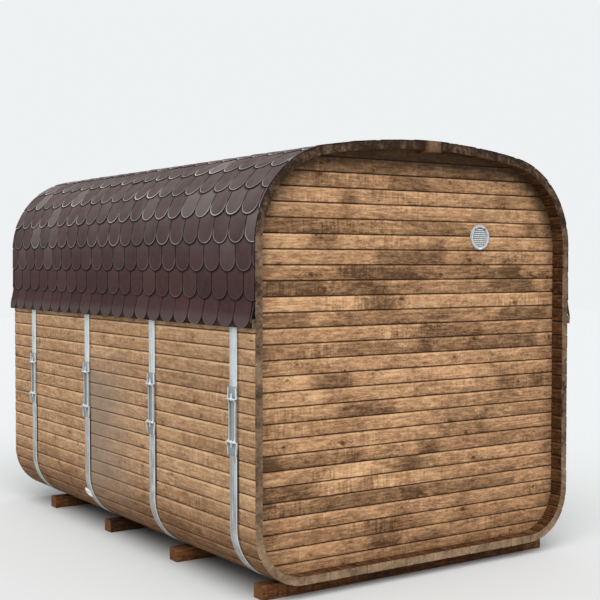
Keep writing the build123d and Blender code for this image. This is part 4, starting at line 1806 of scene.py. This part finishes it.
for node, piece in stave_pieces.items():
    dress(piece, node, "stave_wood", side_wood, stave_ends, stain_and_shade_wood)
    face_finish(piece, stave_face)
for node, piece in wall_pieces.items():
    dress(piece, node, "end_wall_wood", end_wood)
for node, piece in roof_pieces.items():
    dress(piece, node, "shingle", shingle)
for node, piece in timber_pieces.items():
    number_board(piece, 500 + len(node) + ord(node[-1]), tone_of("timber", node))
    if node.startswith("bearer"):
        dress(piece, node, "bearer_wood", bearer_wood, bearer_ends)
        face_finish(piece, looks_along(0))
    elif node.endswith("batten"):
        dress(piece, node, "batten_wood", batten_wood, stave_ends)
        face_finish(piece, looks_along(1))
    elif node == "ridge_beam":
        dress(piece, node, "stave_wood", stain_and_shade_wood, beam_ends)
        face_finish(piece, looks_along(1))
    else:
        dress(piece, node, "door_wood", door_wood)
dress(door_piece, "door_leaf", "door_wood", door_wood)

for node, piece in strap_pieces.items():
    dress(piece, node, "galvanised_steel", strap_steel)

kept = {"door_hinge": hinge_steel, "vent_grille": vent_enamel}
for node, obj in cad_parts.items():
    for start, material in kept.items():
        if node.startswith(start):
            obj.data.materials.clear()
            obj.data.materials.append(material)

# %% [markdown]
# The photograph was taken from the left front, from a standing person's eye height. The camera's
# place and lens were fitted to the straight edges of the body, so the render can be laid over it.

# %% Camera
camera_place = (-4.266, -6.710, 1.778)
camera_turn = radians(34.224)
camera_tilt = radians(-1.773)
camera_lens = 69.26

camera_data = bpy.data.cameras.new("camera")
camera_data.lens = camera_lens
camera_data.sensor_width = 36.0
camera_data.sensor_fit = "HORIZONTAL"
camera_data.clip_end = 100.0
camera = bpy.data.objects.new("camera", camera_data)
bpy.context.collection.objects.link(camera)
camera.location = camera_place
camera.rotation_euler = (radians(90) + camera_tilt, 0.0, -camera_turn)
bpy.context.scene.camera = camera
print("camera at", camera_place)

# %% [markdown]
# A pale floor, a pale sky that is brightest overhead, and one very soft sun above and to the left make
# a plain studio. A sun lights the whole floor evenly, so the floor meets the backdrop without a hard
# line. Light from above is what models the joints, the lips of the straps and the tips of the
# shingles. The Light Path node gives the camera and the reflections an even, pale backdrop in place of
# that sky, so the background can be bright without adding light.

# %% Floor and light
def studio():
    bpy.ops.object.select_all(action="DESELECT")
    bpy.ops.mesh.primitive_plane_add(size=60, location=(0, 0, 0))
    ground = bpy.context.object
    ground.name = "studio_floor"
    material, _, shader = new_material("Studio floor")
    shader.inputs["Base Color"].default_value = (0.55, 0.555, 0.55, 1)
    shader.inputs["Roughness"].default_value = 0.9
    ground.data.materials.append(material)
    ground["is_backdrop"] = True

    world = bpy.data.worlds.new("studio")
    bpy.context.scene.world = world
    world.use_nodes = True
    tree = world.node_tree
    tree.nodes.clear()
    path = add(tree, "ShaderNodeLightPath")
    seen = maths(tree, "MAXIMUM", path.outputs["Is Camera Ray"], path.outputs["Is Glossy Ray"])
    seen = maths(tree, "MAXIMUM", seen, path.outputs["Is Transmission Ray"])
    upwards = parts(tree, add(tree, "ShaderNodeTexCoord").outputs["Generated"])[2]
    strength = ramp(tree, upwards, 0.0, 0.9, 0.46, 1.0)
    light = add(tree, "ShaderNodeBackground", {"Color": (0.94, 0.97, 1.0, 1), "Strength": strength})
    backdrop = add(tree, "ShaderNodeBackground", {"Color": (0.86, 0.88, 0.89, 1), "Strength": 1.0})
    both = add(tree, "ShaderNodeMixShader", {0: seen, 1: light.outputs[0], 2: backdrop.outputs[0]})
    give(tree, add(tree, "ShaderNodeOutputWorld"), Surface=both.outputs[0])

    lamp_direction = Vector((3.0, 4.4, -6.2))
    lamp_data = bpy.data.lights.new("soft_box", "SUN")
    lamp_data.angle = radians(55)
    lamp_data.energy = 3.1
    lamp = bpy.data.objects.new("soft_box", lamp_data)
    bpy.context.collection.objects.link(lamp)
    lamp.rotation_euler = lamp_direction.to_track_quat("-Z", "Y").to_euler()


studio()
bpy.context.scene.view_settings.view_transform = "Standard"
print("studio ready")

# %% [markdown]
# The last cell prints the box of the dressed part.

# %% Finish
low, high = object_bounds()
print("visual box", [round(c, 4) for c in (*low, *high)])
